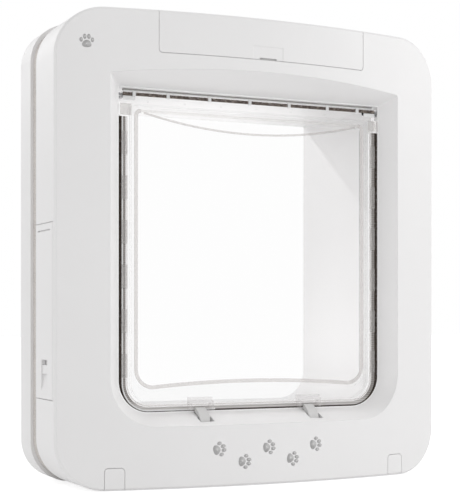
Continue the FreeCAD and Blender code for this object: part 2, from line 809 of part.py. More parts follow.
cover_catch_right = fuse("cover_catch_right", [
    box("catch_plate", (catch_inner_x, inner_half - s.part_gap), catch_span_y,
        (catch_low, catch_high - s.catch_travel - s.part_gap)),
    box("catch_tab", (inner_half - s.part_gap, cover_face_x - s.catch_sunk),
        (slot_y + s.part_gap, slot_back_y - s.part_gap),
        (slot_low + s.part_gap, slot_high - s.catch_travel - s.part_gap)),
])
cover_catch_left = mirrored("cover_catch_left", cover_catch_right)

# Battery cells, bow springs below them and contact plates above
cells = {}
contacts = {}
spring_bow = s.spring_rise - s.spring_thick
bow_radius = (s.spring_half * s.spring_half + spring_bow * spring_bow) / (2 * spring_bow)
bow_angle = 2 * arcsine(s.spring_half / bow_radius)
bow_centre_z = s.bay_low + spring_bow - bow_radius
for side, label in ((-1, "left"), (1, "right")):
    for level, storey in enumerate(("lower", "upper")):
        foot = s.bay_low + s.spring_rise + level * (s.cell_length + s.cell_nub)
        name = "battery_" + label + "_" + storey
        cells[name] = fuse(name, [
            rod(name + "_can", "z", (side * cell_x, cell_y, foot), s.cell_radius, s.cell_length),
            rod(name + "_nub", "z", (side * cell_x, cell_y, foot + s.cell_length),
                s.cell_nub_radius, s.cell_nub),
        ])
    span_x = (side * cell_x - s.spring_half, side * cell_x + s.spring_half)
    span_y = (cell_y - s.spring_half, cell_y + s.spring_half)
    contacts["contact_plate_" + label] = box("contact_plate_" + label, span_x, span_y,
                                             (bay_high - s.contact_thick, bay_high))
    start_angle = 90 - float(bow_angle) / 2
    name = "contact_spring_" + label
    contacts[name] = cut(name, pie(name + "_outer", cell_y, bow_centre_z, bow_radius + s.spring_thick,
                                   start_angle, bow_angle, span_x),
                         [rod(name + "_inner", "x", (span_x[0], cell_y, bow_centre_z),
                              bow_radius, span_x[1] - span_x[0])])

# Rear housing: back plate with its snap hooks, battery bays, screw pillars, board posts and motor cradle
back_plate = slab("back_plate", grown(cavity_plan, -s.part_gap), plate_y, back_y,
                  grown(tunnel_skin, s.part_gap))
housing_pieces = [back_plate] + hooks
housing_cuts = []
for side, label in ((-1, "left"), (1, "right")):
    housing_pieces.append(box("bay_" + label, side_span(side, bay_inner_x - s.bay_wall, inner_half - s.part_gap),
                              (bay_front_y, plate_y + s.wall / 2), (s.bay_low - s.bay_wall, bay_high + s.bay_wall)))
    housing_cuts.append(box("bay_hollow_" + label, side_span(side, bay_inner_x, s.half_width),
                            (bay_front_y + s.bay_wall, bay_back_y), (s.bay_low, bay_high)))

top_screw_z = s.full_height - s.top_screw_drop
fixing_spots = [(side * cap_x, s.low_screw_height) for side in (-1, 1)]
fixing_spots += [(side * s.top_screw_place, top_screw_z) for side in (-1, 1)]
screw_end_y = gasket_y + s.screw_reach
fixing_screws = fuse("fixing_screws", [
    rod("fixing_shank_" + str(index), "y", (across, edge_y, height), s.screw_radius, screw_end_y - edge_y)
    for index, (across, height) in enumerate(fixing_spots)
] + [
    rod("fixing_head_" + str(index), "y", (across, edge_y - s.screw_head, height),
        s.screw_head_radius, s.screw_head)
    for index, (across, height) in enumerate(fixing_spots)
])
bore_radius = s.screw_radius + s.screw_clear
for index, (across, height) in enumerate(fixing_spots):
    housing_pieces.append(box("pillar_" + str(index), (across - s.pillar_radius, across + s.pillar_radius),
                              (edge_y, plate_y + s.wall / 2),
                              (height - s.pillar_radius, height + s.pillar_radius)))
    housing_cuts.append(rod("pillar_bore_" + str(index), "y", (across, edge_y - s.wall, height),
                            bore_radius, back_y - edge_y + 2 * s.wall))

# Tunnel with the lugs of the latch shaft under its floor
tunnel_pieces = [slab("tunnel_tube", tunnel_skin, reveal_y, tunnel_end_y, tunnel_bore)]
tunnel_cuts = []
lug_offset = s.claw_width / 2 + s.lug_clear + s.lug_width / 2
for index, lug_x in enumerate([side * s.claw_place + hand * lug_offset for side in (-1, 1) for hand in (-1, 1)]):
    tunnel_pieces.append(box("lug_" + str(index), (lug_x - s.lug_width / 2, lug_x + s.lug_width / 2),
                             (pivot_y - s.lug_radius, pivot_y + s.lug_radius),
                             (pivot_z - s.lug_radius, s.tunnel_floor - s.tunnel_wall / 2)))
shaft_half = s.claw_place + lug_offset + s.lug_width / 2 + s.shaft_over
tunnel_cuts.append(rod("shaft_bore", "x", (-shaft_half, pivot_y, pivot_z),
                       s.shaft_radius + s.shaft_clear, 2 * shaft_half))
pin_start = tunnel_half - s.barrel_end_gap - s.pin_grip
pin_length = s.pin_grip + s.barrel_end_gap + s.tunnel_wall
rail_front_y = reveal_y + s.rail_back_step
hinge_y = rail_front_y + s.rail_depth / 2
hinge_z = tunnel_top - s.hinge_drop
tunnel_cuts.append(rod("hinge_bore", "x", (-tunnel_half - 2 * s.tunnel_wall, hinge_y, hinge_z),
                       s.pin_radius + s.pin_clear, 2 * (tunnel_half + 2 * s.tunnel_wall)))
tunnel_liner = cut("tunnel_liner", fuse("tunnel_solid", tunnel_pieces), tunnel_cuts)

gear_pitch = s.gear_module * s.gear_teeth / 2
pinion_pitch = s.gear_module * s.pinion_teeth / 2
motor_z = pivot_z - gear_pitch - pinion_pitch - s.gear_backlash
motor_x = s.gear_place + s.pinion_width / 2 + s.motor_gap
motor_can = rod("motor_can", "x", (motor_x, pivot_y, motor_z), s.motor_radius, s.motor_length)
housing_pieces.append(box("motor_cradle", (motor_x + s.cradle_wall, motor_x + s.motor_length - s.cradle_wall),
                          (pivot_y - s.motor_radius, plate_y + s.wall / 2),
                          (motor_z - s.motor_radius - s.cradle_wall, motor_z)))
housing_cuts.append(motor_can)

board_y = front_y + s.board_setback
board_low = tunnel_top + s.board_rise
board_high = board_low + s.board_height
post_spots = [(side * (s.board_half - s.post_inset), height) for side in (-1, 1)
              for height in (board_low + s.post_inset, board_high - s.post_inset)]
for index, (across, height) in enumerate(post_spots):
    housing_pieces.append(box("board_post_" + str(index), (across - s.post_radius, across + s.post_radius),
                              (board_y + s.board_thick, plate_y + s.wall / 2),
                              (height - s.post_radius, height + s.post_radius)))
rear_housing = cut("rear_housing", fuse("housing_solid", housing_pieces), housing_cuts)

# Control board with its switch, the push button and the indicator
button_z = board_low + s.button_height
switch_y = board_y - s.switch_rise
control_board = cut("control_board", fuse("board_solid", [
    box("board_sheet", (-s.board_half, s.board_half), (board_y, board_y + s.board_thick), (board_low, board_high)),
    box("switch_case", (s.button_place - s.switch_half, s.button_place + s.switch_half), (switch_y, board_y),
        (button_z - s.switch_half, button_z + s.switch_half)),
    box("board_chip", (-s.chip_half, s.chip_half), (board_y - s.chip_rise, board_y),
        (button_z - s.chip_half, button_z + s.chip_half)),
]), [rod("switch_bore", "y", (s.button_place, switch_y, button_z),
         s.button_stem_radius + s.stem_clear, s.switch_rise)])
cap_y = switch_y - s.button_travel - s.part_gap - s.button_cap
stem_end = board_y - s.button_travel - s.part_gap
learn_button = fuse("learn_button", [
    rod("button_cap_disc", "y", (s.button_place, cap_y, button_z), s.button_cap_radius, s.button_cap),
    rod("button_stem", "y", (s.button_place, cap_y, button_z), s.button_stem_radius, stem_end - cap_y),
])
lamp_tip = board_y - s.lamp_rise
indicator_light = fuse("indicator_light", [
    rod("lamp_body", "y", (-s.button_place, lamp_tip, button_z), s.lamp_radius, s.lamp_rise),
    rod("lamp_flange", "y", (-s.button_place, board_y - s.lamp_flange, button_z),
        s.lamp_radius + s.lamp_flange, s.lamp_flange),
])

# Reader coil wound round the tunnel
coil_inner = grown(tunnel_skin, s.coil_gap)
antenna_coil = slab("antenna_coil", grown(coil_inner, s.coil_thick), edge_y + s.coil_place,
                    edge_y + s.coil_place + s.coil_depth, coil_inner)

# Foam between the two frames
gasket_outer = grown(fascia_plan, -s.gasket_inset)
foam_gasket = cut("foam_gasket", slab("foam_ring", gasket_outer, back_y, gasket_y,
                                      grown(gasket_outer, -s.gasket_width)),
                  [box("foam_slot_" + str(index), (across - s.foam_slot / 2, across + s.foam_slot / 2),
                       (back_y, gasket_y), (height - s.foam_slot / 2, height + s.foam_slot / 2))
                   for index, (across, height) in enumerate(fixing_spots)])

# Outdoor frame: hollow towards the door, with a collar round the tunnel
frame_plan = outline(s.half_width, 0 * s.full_height, s.full_height, s.frame_corner, s.frame_corner)
collar_bore = grown(tunnel_skin, s.frame_fit)
collar_skin = grown(collar_bore, s.frame_wall)


def on_frame_back(spot):
    return near(spot.y, frame_y)


frame_block = blend("frame_block", "Part::Chamfer", slab("frame_bulk", frame_plan, gasket_y, frame_y),
                    s.frame_bevel, on_frame_back)
frame_hollow = slab("frame_hollow", grown(frame_plan, -s.frame_wall), gasket_y, frame_y - s.frame_wall,
                    collar_skin)
frame_bosses = [box("frame_boss_" + str(index), (across - s.pillar_radius, across + s.pillar_radius),
                    (gasket_y, frame_y - s.frame_wall / 2),
                    (height - s.pillar_radius, height + s.pillar_radius))
                for index, (across, height) in enumerate(fixing_spots)]
frame_shell = cut("frame_shell", frame_block, [frame_hollow])
frame_bores = [rod("frame_bore_" + str(index), "y", (across, gasket_y, height), bore_radius,
                   s.screw_reach + s.screw_clear)
               for index, (across, height) in enumerate(fixing_spots)]
outdoor_frame = cut("outdoor_frame", fuse("frame_solid", [frame_shell] + frame_bosses),
                    [slab("collar_hole", collar_bore, gasket_y, frame_y)] + frame_bores)

# Clear flap: web, channelled rail, window ridges, catch brackets and hinge barrel
rail_half = tunnel_half - s.brush_clear - s.brush_reach
rail_low = s.tunnel_floor + s.brush_clear + s.low_brush_reach
web_front = hinge_y - s.web_depth / 2
web_back = hinge_y + s.web_depth / 2
rail_plan = outline(rail_half, rail_low, hinge_z, s.rail_low_radius, s.rail_top_radius)
rail_inner = outline(rail_half - s.rail_width, rail_low + s.low_rail_width, hinge_z - s.rail_width,
                     s.rail_low_radius - s.low_rail_width, s.rail_top_radius)
flap_web = slab("flap_web", rail_plan, web_front, web_back)
flap_rail = slab("flap_rail", rail_plan, rail_front_y, rail_front_y + s.rail_depth, rail_inner)
barrel_half = tunnel_half - s.barrel_end_gap
flap_barrel = rod("flap_barrel", "x", (-barrel_half, hinge_y, hinge_z), s.barrel_radius, 2 * barrel_half)

window = outline(rail_half - s.window_inset, rail_low + s.window_low_inset, hinge_z - s.window_top_drop,
                 s.window_radius, s.window_top_radius)
ridge_front = web_front - s.ridge_rise
window_ridge = cut("window_ridge", slab("ridge_outer", window, ridge_front, hinge_y, None, s.low_line_radius),
                   [slab("ridge_inner", grown(window, -s.ridge_width), ridge_front, hinge_y,
                         None, s.low_line_radius)])
sag_centre = hinge_z - s.window_top_drop - s.sag_depth + s.sag_radius
sag_span = rod("sag_outer", "y", (0, ridge_front, sag_centre), s.sag_radius, hinge_y - ridge_front)
sag_core = rod("sag_inner", "y", (0, ridge_front, sag_centre), s.sag_radius - s.line_width,
               hinge_y - ridge_front)
sag_ridge = common("sag_ridge", cut("sag_ring", sag_span, [sag_core]),
                   slab("sag_limit", window, ridge_front, hinge_y))

# Clear keepers on the flap's foot, each with a mouth that takes a claw
keepers = {}
keeper_low = s.tunnel_floor + s.bracket_low
keeper_high = s.tunnel_floor + s.bracket_high
keeper_front = rail_front_y - s.bracket_reach
for side, label in ((-1, "left"), (1, "right")):
    span = (side * s.claw_place - s.bracket_width / 2, side * s.claw_place + s.bracket_width / 2)
    mouth = (span[0] + s.bracket_wall, span[1] - s.bracket_wall)
    name = "flap_keeper_" + label
    keepers[name] = cut(name, box(name + "_block", span, (keeper_front, rail_front_y), (keeper_low, keeper_high)), [
        box(name + "_mouth", mouth, (keeper_front, rail_front_y),
            (keeper_low, keeper_high - s.bracket_step - s.bracket_wall)),
        box(name + "_step", span, (keeper_front, keeper_front + s.bracket_step),
            (keeper_high - s.bracket_step, keeper_high)),
    ])

# Corner blocks over the ends of the side brushes
corner_blocks = [box("corner_block_" + label,
                     side_span(side, rail_half - s.rail_width, rail_half + s.corner_side),
                     (rail_front_y, rail_front_y + s.rail_depth),
                     (hinge_z - s.corner_drop, hinge_z - s.corner_drop + s.corner_tall))
                 for side, label in ((-1, "left"), (1, "right"))]

# Retaining clips of the side channels, one strip with a row of tabs on each side
clip_strips = []
clip_low = rail_low + s.clip_foot
clip_place = rail_half - s.clip_strip_inset
clip_span = tunnel_top - s.side_brush_drop - s.clip_top_gap - clip_low - s.clip_length
for side, label in ((-1, "left"), (1, "right")):
    strip = doc.addObject("PartDesign::Body", "clip_strip_" + label)
    lean = clip_place if side > 0 else -clip_place - s.clip_width
    base = sketch_on(strip, "clip_base_" + label, "XZ_Plane", (lean, clip_low, -rail_front_y - s.part_gap))
    add_rectangle(base, 0, s.clip_width / 2, clip_span + s.clip_length)
    pad = strip.newObject("PartDesign::Pad", "clip_lip_" + label)
    pad.Profile = base
    bind(pad, "Length", s.part_gap + s.clip_rise / 2)
    tab = sketch_on(strip, "clip_tab_" + label, "XZ_Plane", (lean, clip_low, -rail_front_y - s.part_gap))
    add_rectangle(tab, 0, s.clip_width, s.clip_length)
    tab_pad = strip.newObject("PartDesign::Pad", "clip_tab_pad_" + label)
    tab_pad.Profile = tab
    bind(tab_pad, "Length", s.part_gap + s.clip_rise)
    row = strip.newObject("PartDesign::LinearPattern", "clip_row_" + label)
    row.Originals = [tab_pad]
    row.Direction = (tab, ["V_Axis"])
    bind(row, "Length", clip_span)
    bind(row, "Occurrences", s.clip_rows)
    strip.Tip = row
    clip_strips.append(strip)
top_brush_z = (hinge_z - s.top_brush_low, hinge_z - s.top_brush_low + s.top_brush_tall)
top_clip_pitch = (rail_half - s.top_clip_inset) / 2.8
top_clips = [box("top_clip_" + str(index),
                 (step * top_clip_pitch - s.top_clip_shift - s.top_clip_width / 2,
                  step * top_clip_pitch - s.top_clip_shift + s.top_clip_width / 2),
                 (rail_front_y - s.top_brush_thick - s.top_clip_rise, rail_front_y + s.part_gap),
                 (top_brush_z[0] - s.top_clip_rise, top_brush_z[1] + s.top_clip_rise))
             for index, step in enumerate((-2.8, -2, -1, 0, 1, 2, 2.8))]

# Brush strips: one bent round the flap's sides and foot, one across its top
brush_plan = outline(rail_half + s.brush_reach, rail_low - s.low_brush_reach, tunnel_top - s.side_brush_drop,
                     s.tunnel_low_radius - s.brush_clear, s.brush_end_radius)
brush_core = outline(rail_half - s.brush_grip, rail_low + s.brush_grip, tunnel_top,
                     s.rail_low_radius - s.brush_grip, s.brush_end_radius)
brush_front = hinge_y - s.brush_thick / 2
edge_brush = cut("edge_brush", slab("brush_sheet", brush_plan, brush_front, brush_front + s.brush_thick),
                 [slab("brush_middle", brush_core, brush_front, brush_front + s.brush_thick)])
top_brush_half = rail_half - s.rail_top_radius
top_brush = cut("top_brush", box("top_brush_strip", (-top_brush_half, top_brush_half),
                                 (rail_front_y - s.top_brush_thick, rail_front_y), top_brush_z),
                [flap_barrel])

hinge_pins = {
    "hinge_pin_left": rod("hinge_pin_left", "x", (-pin_start - pin_length, hinge_y, hinge_z),
                          s.pin_radius, pin_length),
    "hinge_pin_right": rod("hinge_pin_right", "x", (pin_start, hinge_y, hinge_z), s.pin_radius, pin_length),
}
flap_solid = fuse("flap_solid", [flap_web, flap_rail, flap_barrel, window_ridge, sag_ridge]
                  + corner_blocks + clip_strips + top_clips)
flap_panel = cut("flap_panel", flap_solid, [edge_brush, top_brush] + list(hinge_pins.values()))

# Lock: curved claws, their shaft, the gear sector on it and the motor's pinion
latch_shaft = rod("latch_shaft", "x", (-shaft_half, pivot_y, pivot_z), s.shaft_radius, 2 * shaft_half)
claws = {}
for side, label in ((-1, "left"), (1, "right")):
    span = (side * s.claw_place - s.claw_width / 2, side * s.claw_place + s.claw_width / 2)
    name = "latch_" + label
    arm_start = s.claw_tip_angle + s.claw_sweep - s.claw_arm_sweep
    inner = s.claw_outer - s.claw_thick
    ring = cut(name + "_ring", pie(name + "_slice", pivot_y, pivot_z, s.claw_outer, s.claw_tip_angle,
                                   s.claw_sweep, span),
               [rod(name + "_core", "x", (span[0], pivot_y, pivot_z), inner, s.claw_width)])
    arm = pie(name + "_arm", pivot_y, pivot_z, inner + s.claw_thick / 2, arm_start, s.claw_arm_sweep, span)
    hub = rod(name + "_hub", "x", (span[0], pivot_y, pivot_z), s.claw_hub_radius, s.claw_width)
    claws[name] = cut(name, fuse(name + "_solid", [ring, arm, hub]), [latch_shaft])


# Involute wheel on an X axis; turn is the angle of its first tooth from +Y towards +Z
def wheel(name, teeth, centre_z, middle_x, width, turn):
    maker = fcgear.FCWireBuilder()
    involute.CreateExternalGear(maker, float(s.gear_module), int(float(teeth)), 20.0, False)
    spots = []
    for edge in Part.Wire([item.toShape() for item in maker.wire]).OrderedEdges:
        steps = edge.discretize(Number=2 if edge.Length < float(s.gear_module) else 4)
        spots.extend(steps if edge.Orientation == "Forward" else reversed(steps))
    corners = [spots[0]]
    corners.extend(spot for spot in spots if (spot - corners[-1]).Length > 0.01)
    face = Part.Face(Part.makePolygon(corners[:-1] + [corners[0]]))
    solid = doc.addObject("Part::Feature", name)
    solid.Shape = face.extrude(Vector(0, 0, float(width)))
    start = math.radians(turn)
    along = Vector(0, math.cos(start), math.sin(start))
    across = Vector(0, -math.sin(start), math.cos(start))
    spot = Vector(float(middle_x - width / 2), float(pivot_y), float(centre_z))
    solid.Placement = Placement(spot, Rotation(along, across, Vector(1, 0, 0), "ZXY"))
    return solid


gear_span = (s.gear_place - s.gear_width / 2, s.gear_place + s.gear_width / 2)
latch_gear = cut("latch_gear", fuse("gear_solid", [
    common("gear_sector", wheel("gear_wheel", s.gear_teeth, pivot_z, s.gear_place, s.gear_width, -90),
           pie("gear_slice", pivot_y, pivot_z, 2 * gear_pitch, s.gear_start, s.gear_sector, gear_span)),
    rod("gear_hub", "x", (gear_span[0], pivot_y, pivot_z), s.claw_hub_radius, s.gear_width),
]), [latch_shaft])
motor_shaft = rod("motor_shaft", "x", (s.gear_place - s.pinion_width / 2 - s.shaft_over, pivot_y, motor_z),
                  s.motor_shaft_radius, s.pinion_width + s.shaft_over + s.motor_gap + s.motor_shaft_grip)
drive_pinion = cut("drive_pinion", wheel("pinion_wheel", s.pinion_teeth, motor_z, s.gear_place,
                                         s.pinion_width, 90 + 180 / float(s.pinion_teeth)), [motor_shaft])
lock_motor = cut("lock_motor", motor_can,
                 [rod("motor_bore", "x", (motor_x, pivot_y, motor_z), s.motor_shaft_radius + s.shaft_clear,
                      s.motor_shaft_grip + s.shaft_over)])

nodes = {
    "front_fascia": front_fascia,
    "rear_housing": rear_housing,
    "tunnel_liner": tunnel_liner,
    "top_cover": top_cover,
    "screw_cover_left": screw_cover_left,
    "screw_cover_right": screw_cover_right,
    "battery_cover_left": battery_cover_left,
    "battery_cover_right": battery_cover_right,
    "cover_catch_left": cover_catch_left,
    "cover_catch_right": cover_catch_right,
    "control_board": control_board,
    "learn_button": learn_button,
    "indicator_light": indicator_light,
    "antenna_coil": antenna_coil,
    "foam_gasket": foam_gasket,
    "outdoor_frame": outdoor_frame,
    "fixing_screws": fixing_screws,
    "flap_panel": flap_panel,
    "edge_brush": edge_brush,
    "top_brush": top_brush,
    "latch_shaft": latch_shaft,
    "latch_gear": latch_gear,
    "drive_pinion": drive_pinion,
    "motor_shaft": motor_shaft,
    "lock_motor": lock_motor,
}
for group in (cells, contacts, claws, keepers, hinge_pins):
    nodes.update(group)

doc.recompute()
faults = [item.Name for item in doc.Objects if "Invalid" in item.State or "Error" in item.State]
if faults:
    raise RuntimeError("these objects failed: " + ", ".join(faults))
for node, item in nodes.items():
    item.Label = node
    if item.Shape.isNull() or not item.Shape.isValid():
        raise RuntimeError(node + " has no valid shape")
for node, item in nodes.items():
    item.Shape.exportStep("parts/" + node + ".step")
    print(node, len(item.Shape.Solids), "solids", round(item.Shape.Volume), "mm3")
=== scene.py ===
import json
import math

import bpy
import numpy as np
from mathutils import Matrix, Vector


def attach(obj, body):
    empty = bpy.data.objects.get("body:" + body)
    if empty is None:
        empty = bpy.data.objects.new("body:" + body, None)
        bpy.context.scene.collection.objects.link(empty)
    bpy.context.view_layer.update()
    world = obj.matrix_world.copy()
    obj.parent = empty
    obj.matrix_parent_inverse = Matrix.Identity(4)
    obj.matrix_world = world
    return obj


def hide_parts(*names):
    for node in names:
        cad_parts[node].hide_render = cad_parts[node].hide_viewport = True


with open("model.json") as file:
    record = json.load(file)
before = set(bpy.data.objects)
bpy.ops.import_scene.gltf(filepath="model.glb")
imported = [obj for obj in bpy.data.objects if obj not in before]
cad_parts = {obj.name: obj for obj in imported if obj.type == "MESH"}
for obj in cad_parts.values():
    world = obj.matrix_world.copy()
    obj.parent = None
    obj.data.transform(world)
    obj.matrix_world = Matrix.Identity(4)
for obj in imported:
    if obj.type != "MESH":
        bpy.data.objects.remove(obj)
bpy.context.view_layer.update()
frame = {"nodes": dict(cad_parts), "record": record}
nodes = frame["nodes"]
mm = 0.001
dice = np.random.default_rng(7)
print("frame loaded,", len(nodes), "nodes")


# materials

# a Principled material, returned with its node tree and its shader
def newFinish(name, colour, roughness, **sockets):
    material = bpy.data.materials.new(name)
    material.use_nodes = True
    tree = material.node_tree
    shader = tree.nodes["Principled BSDF"]
    shader.inputs["Base Color"].default_value = (*colour, 1)
    shader.inputs["Roughness"].default_value = roughness
    for socket, value in sockets.items():
        shader.inputs[socket.replace("_", " ")].default_value = value
    return material, tree, shader


def objectCoords(tree, scale=(1, 1, 1), centre=(0, 0, 0)):
    coords = tree.nodes.new("ShaderNodeTexCoord")
    mapping = tree.nodes.new("ShaderNodeMapping")
    mapping.inputs["Location"].default_value = [-c * k for c, k in zip(centre, scale)]
    mapping.inputs["Scale"].default_value = scale
    tree.links.new(coords.outputs["Object"], mapping.inputs["Vector"])
    return mapping.outputs["Vector"]


def noiseOf(tree, vector, scale, detail=3.0, roughness=0.5):
    noise = tree.nodes.new("ShaderNodeTexNoise")
    noise.inputs["Scale"].default_value = scale
    noise.inputs["Detail"].default_value = detail
    noise.inputs["Roughness"].default_value = roughness
    tree.links.new(vector, noise.inputs["Vector"])
    return noise.outputs["Fac"]


def rampOf(tree, value, stops):
    ramp = tree.nodes.new("ShaderNodeValToRGB")
    points = ramp.color_ramp.elements
    while len(points) < len(stops):
        points.new(0.5)
    for point, (place, colour) in zip(points, stops):
        point.position = place
        point.color = (*colour, 1)
    tree.links.new(value, ramp.inputs["Fac"])
    return ramp.outputs["Color"]


def mathOf(tree, operation, first, second=None):
    step = tree.nodes.new("ShaderNodeMath")
    step.operation = operation
    for socket, value in zip(step.inputs, (first, second)):
        if hasattr(value, "is_linked"):
            tree.links.new(value, socket)
        elif value is not None:
            socket.default_value = value
    return step.outputs[0]


def bumpOf(tree, shader, height, strength, distance, edge=0):
    bump = tree.nodes.new("ShaderNodeBump")
    if edge:
        soft = tree.nodes.new("ShaderNodeBevel")
        soft.samples = 6
        soft.inputs["Radius"].default_value = edge
        tree.links.new(soft.outputs["Normal"], bump.inputs["Normal"])
    bump.inputs["Strength"].default_value = strength
    bump.inputs["Distance"].default_value = distance
    tree.links.new(height, bump.inputs["Height"])
    tree.links.new(bump.outputs["Normal"], shader.inputs["Normal"])


# base colour that wanders between two shades, each given with its place on the ramp
def mottle(tree, shader, noise, *shades):
    tree.links.new(rampOf(tree, noise, shades), shader.inputs["Base Color"])


# roughness that wanders a little about its middle value
def roughnessOf(tree, shader, spot, scale, middle, spread):
    levels = [(0.3, (middle - spread,) * 3), (0.7, (middle + spread,) * 3)]
    tree.links.new(rampOf(tree, noiseOf(tree, spot, scale, 4), levels), shader.inputs["Roughness"])


# two shaders in one, by a share that is a number or another node's output
def mixShaders(tree, share, first, second):
    mix = tree.nodes.new("ShaderNodeMixShader")
    if hasattr(share, "is_linked"):
        tree.links.new(share, mix.inputs["Fac"])
    else:
        mix.inputs["Fac"].default_value = share
    tree.links.new(first.outputs[0], mix.inputs[1])
    tree.links.new(second.outputs[0], mix.inputs[2])
    return mix


# plain moulding: a fine spark-eroded grain and a faint drift in its colour
whiteLook = {"colour": (0.845, 0.838, 0.838), "drift": 0.01, "driftScale": 9, "roughness": 0.44,
             "wanderScale": 40, "wander": 0.03, "grain": 1500, "grainStrength": 0.25,
             "grainHeight": 0.00002, "softEdge": 0.0007}


def makeMoulding(name, look):
    material, tree, shader = newFinish(name, look["colour"], look["roughness"])
    spot = objectCoords(tree)
    base = np.array(look["colour"])
    mottle(tree, shader, noiseOf(tree, spot, look["driftScale"]), (0.3, base - look["drift"]),
           (0.7, base + look["drift"]))
    roughnessOf(tree, shader, spot, look["wanderScale"], look["roughness"], look["wander"])
    bumpOf(tree, shader, noiseOf(tree, spot, look["grain"], 2), look["grainStrength"],
           look["grainHeight"], look["softEdge"])
    return material


white = makeMoulding("whiteMoulding", whiteLook)
greyLatch = makeMoulding("greyMoulding", dict(whiteLook, colour=(0.66, 0.655, 0.65),
                                              roughness=0.34))
buttonCap = makeMoulding("buttonMoulding", dict(whiteLook, colour=(0.3, 0.3, 0.31)))
acetal = makeMoulding("naturalAcetal", dict(whiteLook, colour=(0.78, 0.76, 0.69), roughness=0.35))
# whiter moulding for the tunnel's mouth: the extra whiteness is a painted highlight
mouthHighlightMoulding = makeMoulding("mouthHighlightMoulding", dict(whiteLook, colour=(0.965, 0.96, 0.96), roughness=0.3))
markInk = makeMoulding("markInk", dict(whiteLook, colour=(0.72, 0.715, 0.71), roughness=0.5))

# closed-cell foam: two greys in cells, with pits
foamLook = {"light": (0.68, 0.645, 0.615), "deep": (0.54, 0.51, 0.485), "roughness": 0.92,
            "cells": 900, "patches": 60, "pitDepth": 0.00035}
foam, foamTree, foamShader = newFinish("greyFoam", foamLook["light"], foamLook["roughness"])
foamSpot = objectCoords(foamTree)
foamCells = foamTree.nodes.new("ShaderNodeTexVoronoi")
foamCells.inputs["Scale"].default_value = foamLook["cells"]
foamTree.links.new(foamSpot, foamCells.inputs["Vector"])
foamPatches = noiseOf(foamTree, foamSpot, foamLook["patches"], 4)
foamMix = mathOf(foamTree, "MULTIPLY", foamCells.outputs["Distance"], foamPatches)
mottle(foamTree, foamShader, foamMix, (0.05, foamLook["deep"]), (0.3, foamLook["light"]))
bumpOf(foamTree, foamShader, foamCells.outputs["Distance"], 0.5, foamLook["pitDepth"])

# clear sheet: refracts for the eye, lets lamp light straight through to what is behind
clearLook = {"colour": (0.985, 0.985, 0.985), "roughness": 0.03, "bend": 1.25, "rippleScale": 55,
             "rippleStrength": 0.12, "ripple": 0.00003}


def makeClear(name, look):
    material, tree, shader = newFinish(name, look["colour"], look["roughness"], IOR=look["bend"],
                                       Transmission_Weight=1.0)
    ripple = noiseOf(tree, objectCoords(tree), look["rippleScale"], 2)
    bumpOf(tree, shader, ripple, look["rippleStrength"], look["ripple"])
    path = tree.nodes.new("ShaderNodeLightPath")
    lampRays = mathOf(tree, "MAXIMUM", path.outputs["Is Shadow Ray"],
                      path.outputs["Is Diffuse Ray"])
    mix = mixShaders(tree, lampRays, shader, tree.nodes.new("ShaderNodeBsdfTransparent"))
    tree.links.new(mix.outputs[0], tree.nodes["Material Output"].inputs["Surface"])
    return material


clear = makeClear("clearFlap", clearLook)


# frosted plastic: light goes through with a tint, and the share in cover scatters off its grain
frostLook = {"roughness": 0.35, "clouds": 300, "grain": 900, "grainStrength": 0.2,
             "grainHeight": 0.00002}


def makeFrosted(name, colour, tint, cover):
    material, tree, shader = newFinish(name, colour, frostLook["roughness"])
    spot = objectCoords(tree)
    base = np.array(colour)
    mottle(tree, shader, noiseOf(tree, spot, frostLook["clouds"], 3), (0.3, base * 0.94),
           (0.7, np.minimum(base * 1.04, 1)))
    bumpOf(tree, shader, noiseOf(tree, spot, frostLook["grain"], 2), frostLook["grainStrength"],
           frostLook["grainHeight"])
    through = tree.nodes.new("ShaderNodeBsdfTransparent")
    through.inputs["Color"].default_value = (*tint, 1)
    mix = mixShaders(tree, cover, through, shader)
    tree.links.new(mix.outputs[0], tree.nodes["Material Output"].inputs["Surface"])
    return material


# grey frost for the clear beads: painted shade standing in for their refraction; the next one is a
# copy painted lighter for the top run
beadPaintedShade = makeFrosted("beadPaintedShade", (0.77, 0.755, 0.75), (0.905, 0.893, 0.888), 0.2)
headerBeadPaintedLighter = makeFrosted("headerBeadPaintedLighter", (0.88, 0.87, 0.865), (0.97, 0.965, 0.96), 0.1)
frostedClip = makeFrosted("frostedClip", (0.74, 0.72, 0.71), (0.92, 0.915, 0.91), 0.22)
frostedKeeper = makeFrosted("frostedKeeper", (0.84, 0.83, 0.83), (0.975, 0.97, 0.97), 0.2)
frostedRim = makeFrosted("frostedRim", (0.86, 0.86, 0.86), (0.99, 0.99, 0.99), 0.045)
# near-white frost: painted highlights on the rail's edge, the top clips and the flap's top edge;
# also the covers before the hinge pins
whiteFrostAndHighlight = makeFrosted("whiteFrostAndHighlight", (0.88, 0.88, 0.88), (0.95, 0.95, 0.95), 0.8)
# grey frost of the bar in the hinge gap: painted shade
gapShadeFrost = makeFrosted("gapShadeFrost", (0.5, 0.485, 0.47), (0.7, 0.68, 0.67), 0.75)


# brush pile: dark hairs, some with a paler side
pileLook = {"roughness": 0.8, "clouds": 900}


def makePile(name, deep, light):
    material, tree, shader = newFinish(name, deep, pileLook["roughness"])
    clouds = noiseOf(tree, objectCoords(tree), pileLook["clouds"], 2)
    mottle(tree, shader, clouds, (0.42, deep), (0.72, light))
    return material


pile = makePile("darkPile", (0.03, 0.019, 0.013), (0.11, 0.078, 0.06))
palerPile = makePile("palerPile", (0.11, 0.085, 0.072), (0.4, 0.34, 0.3))

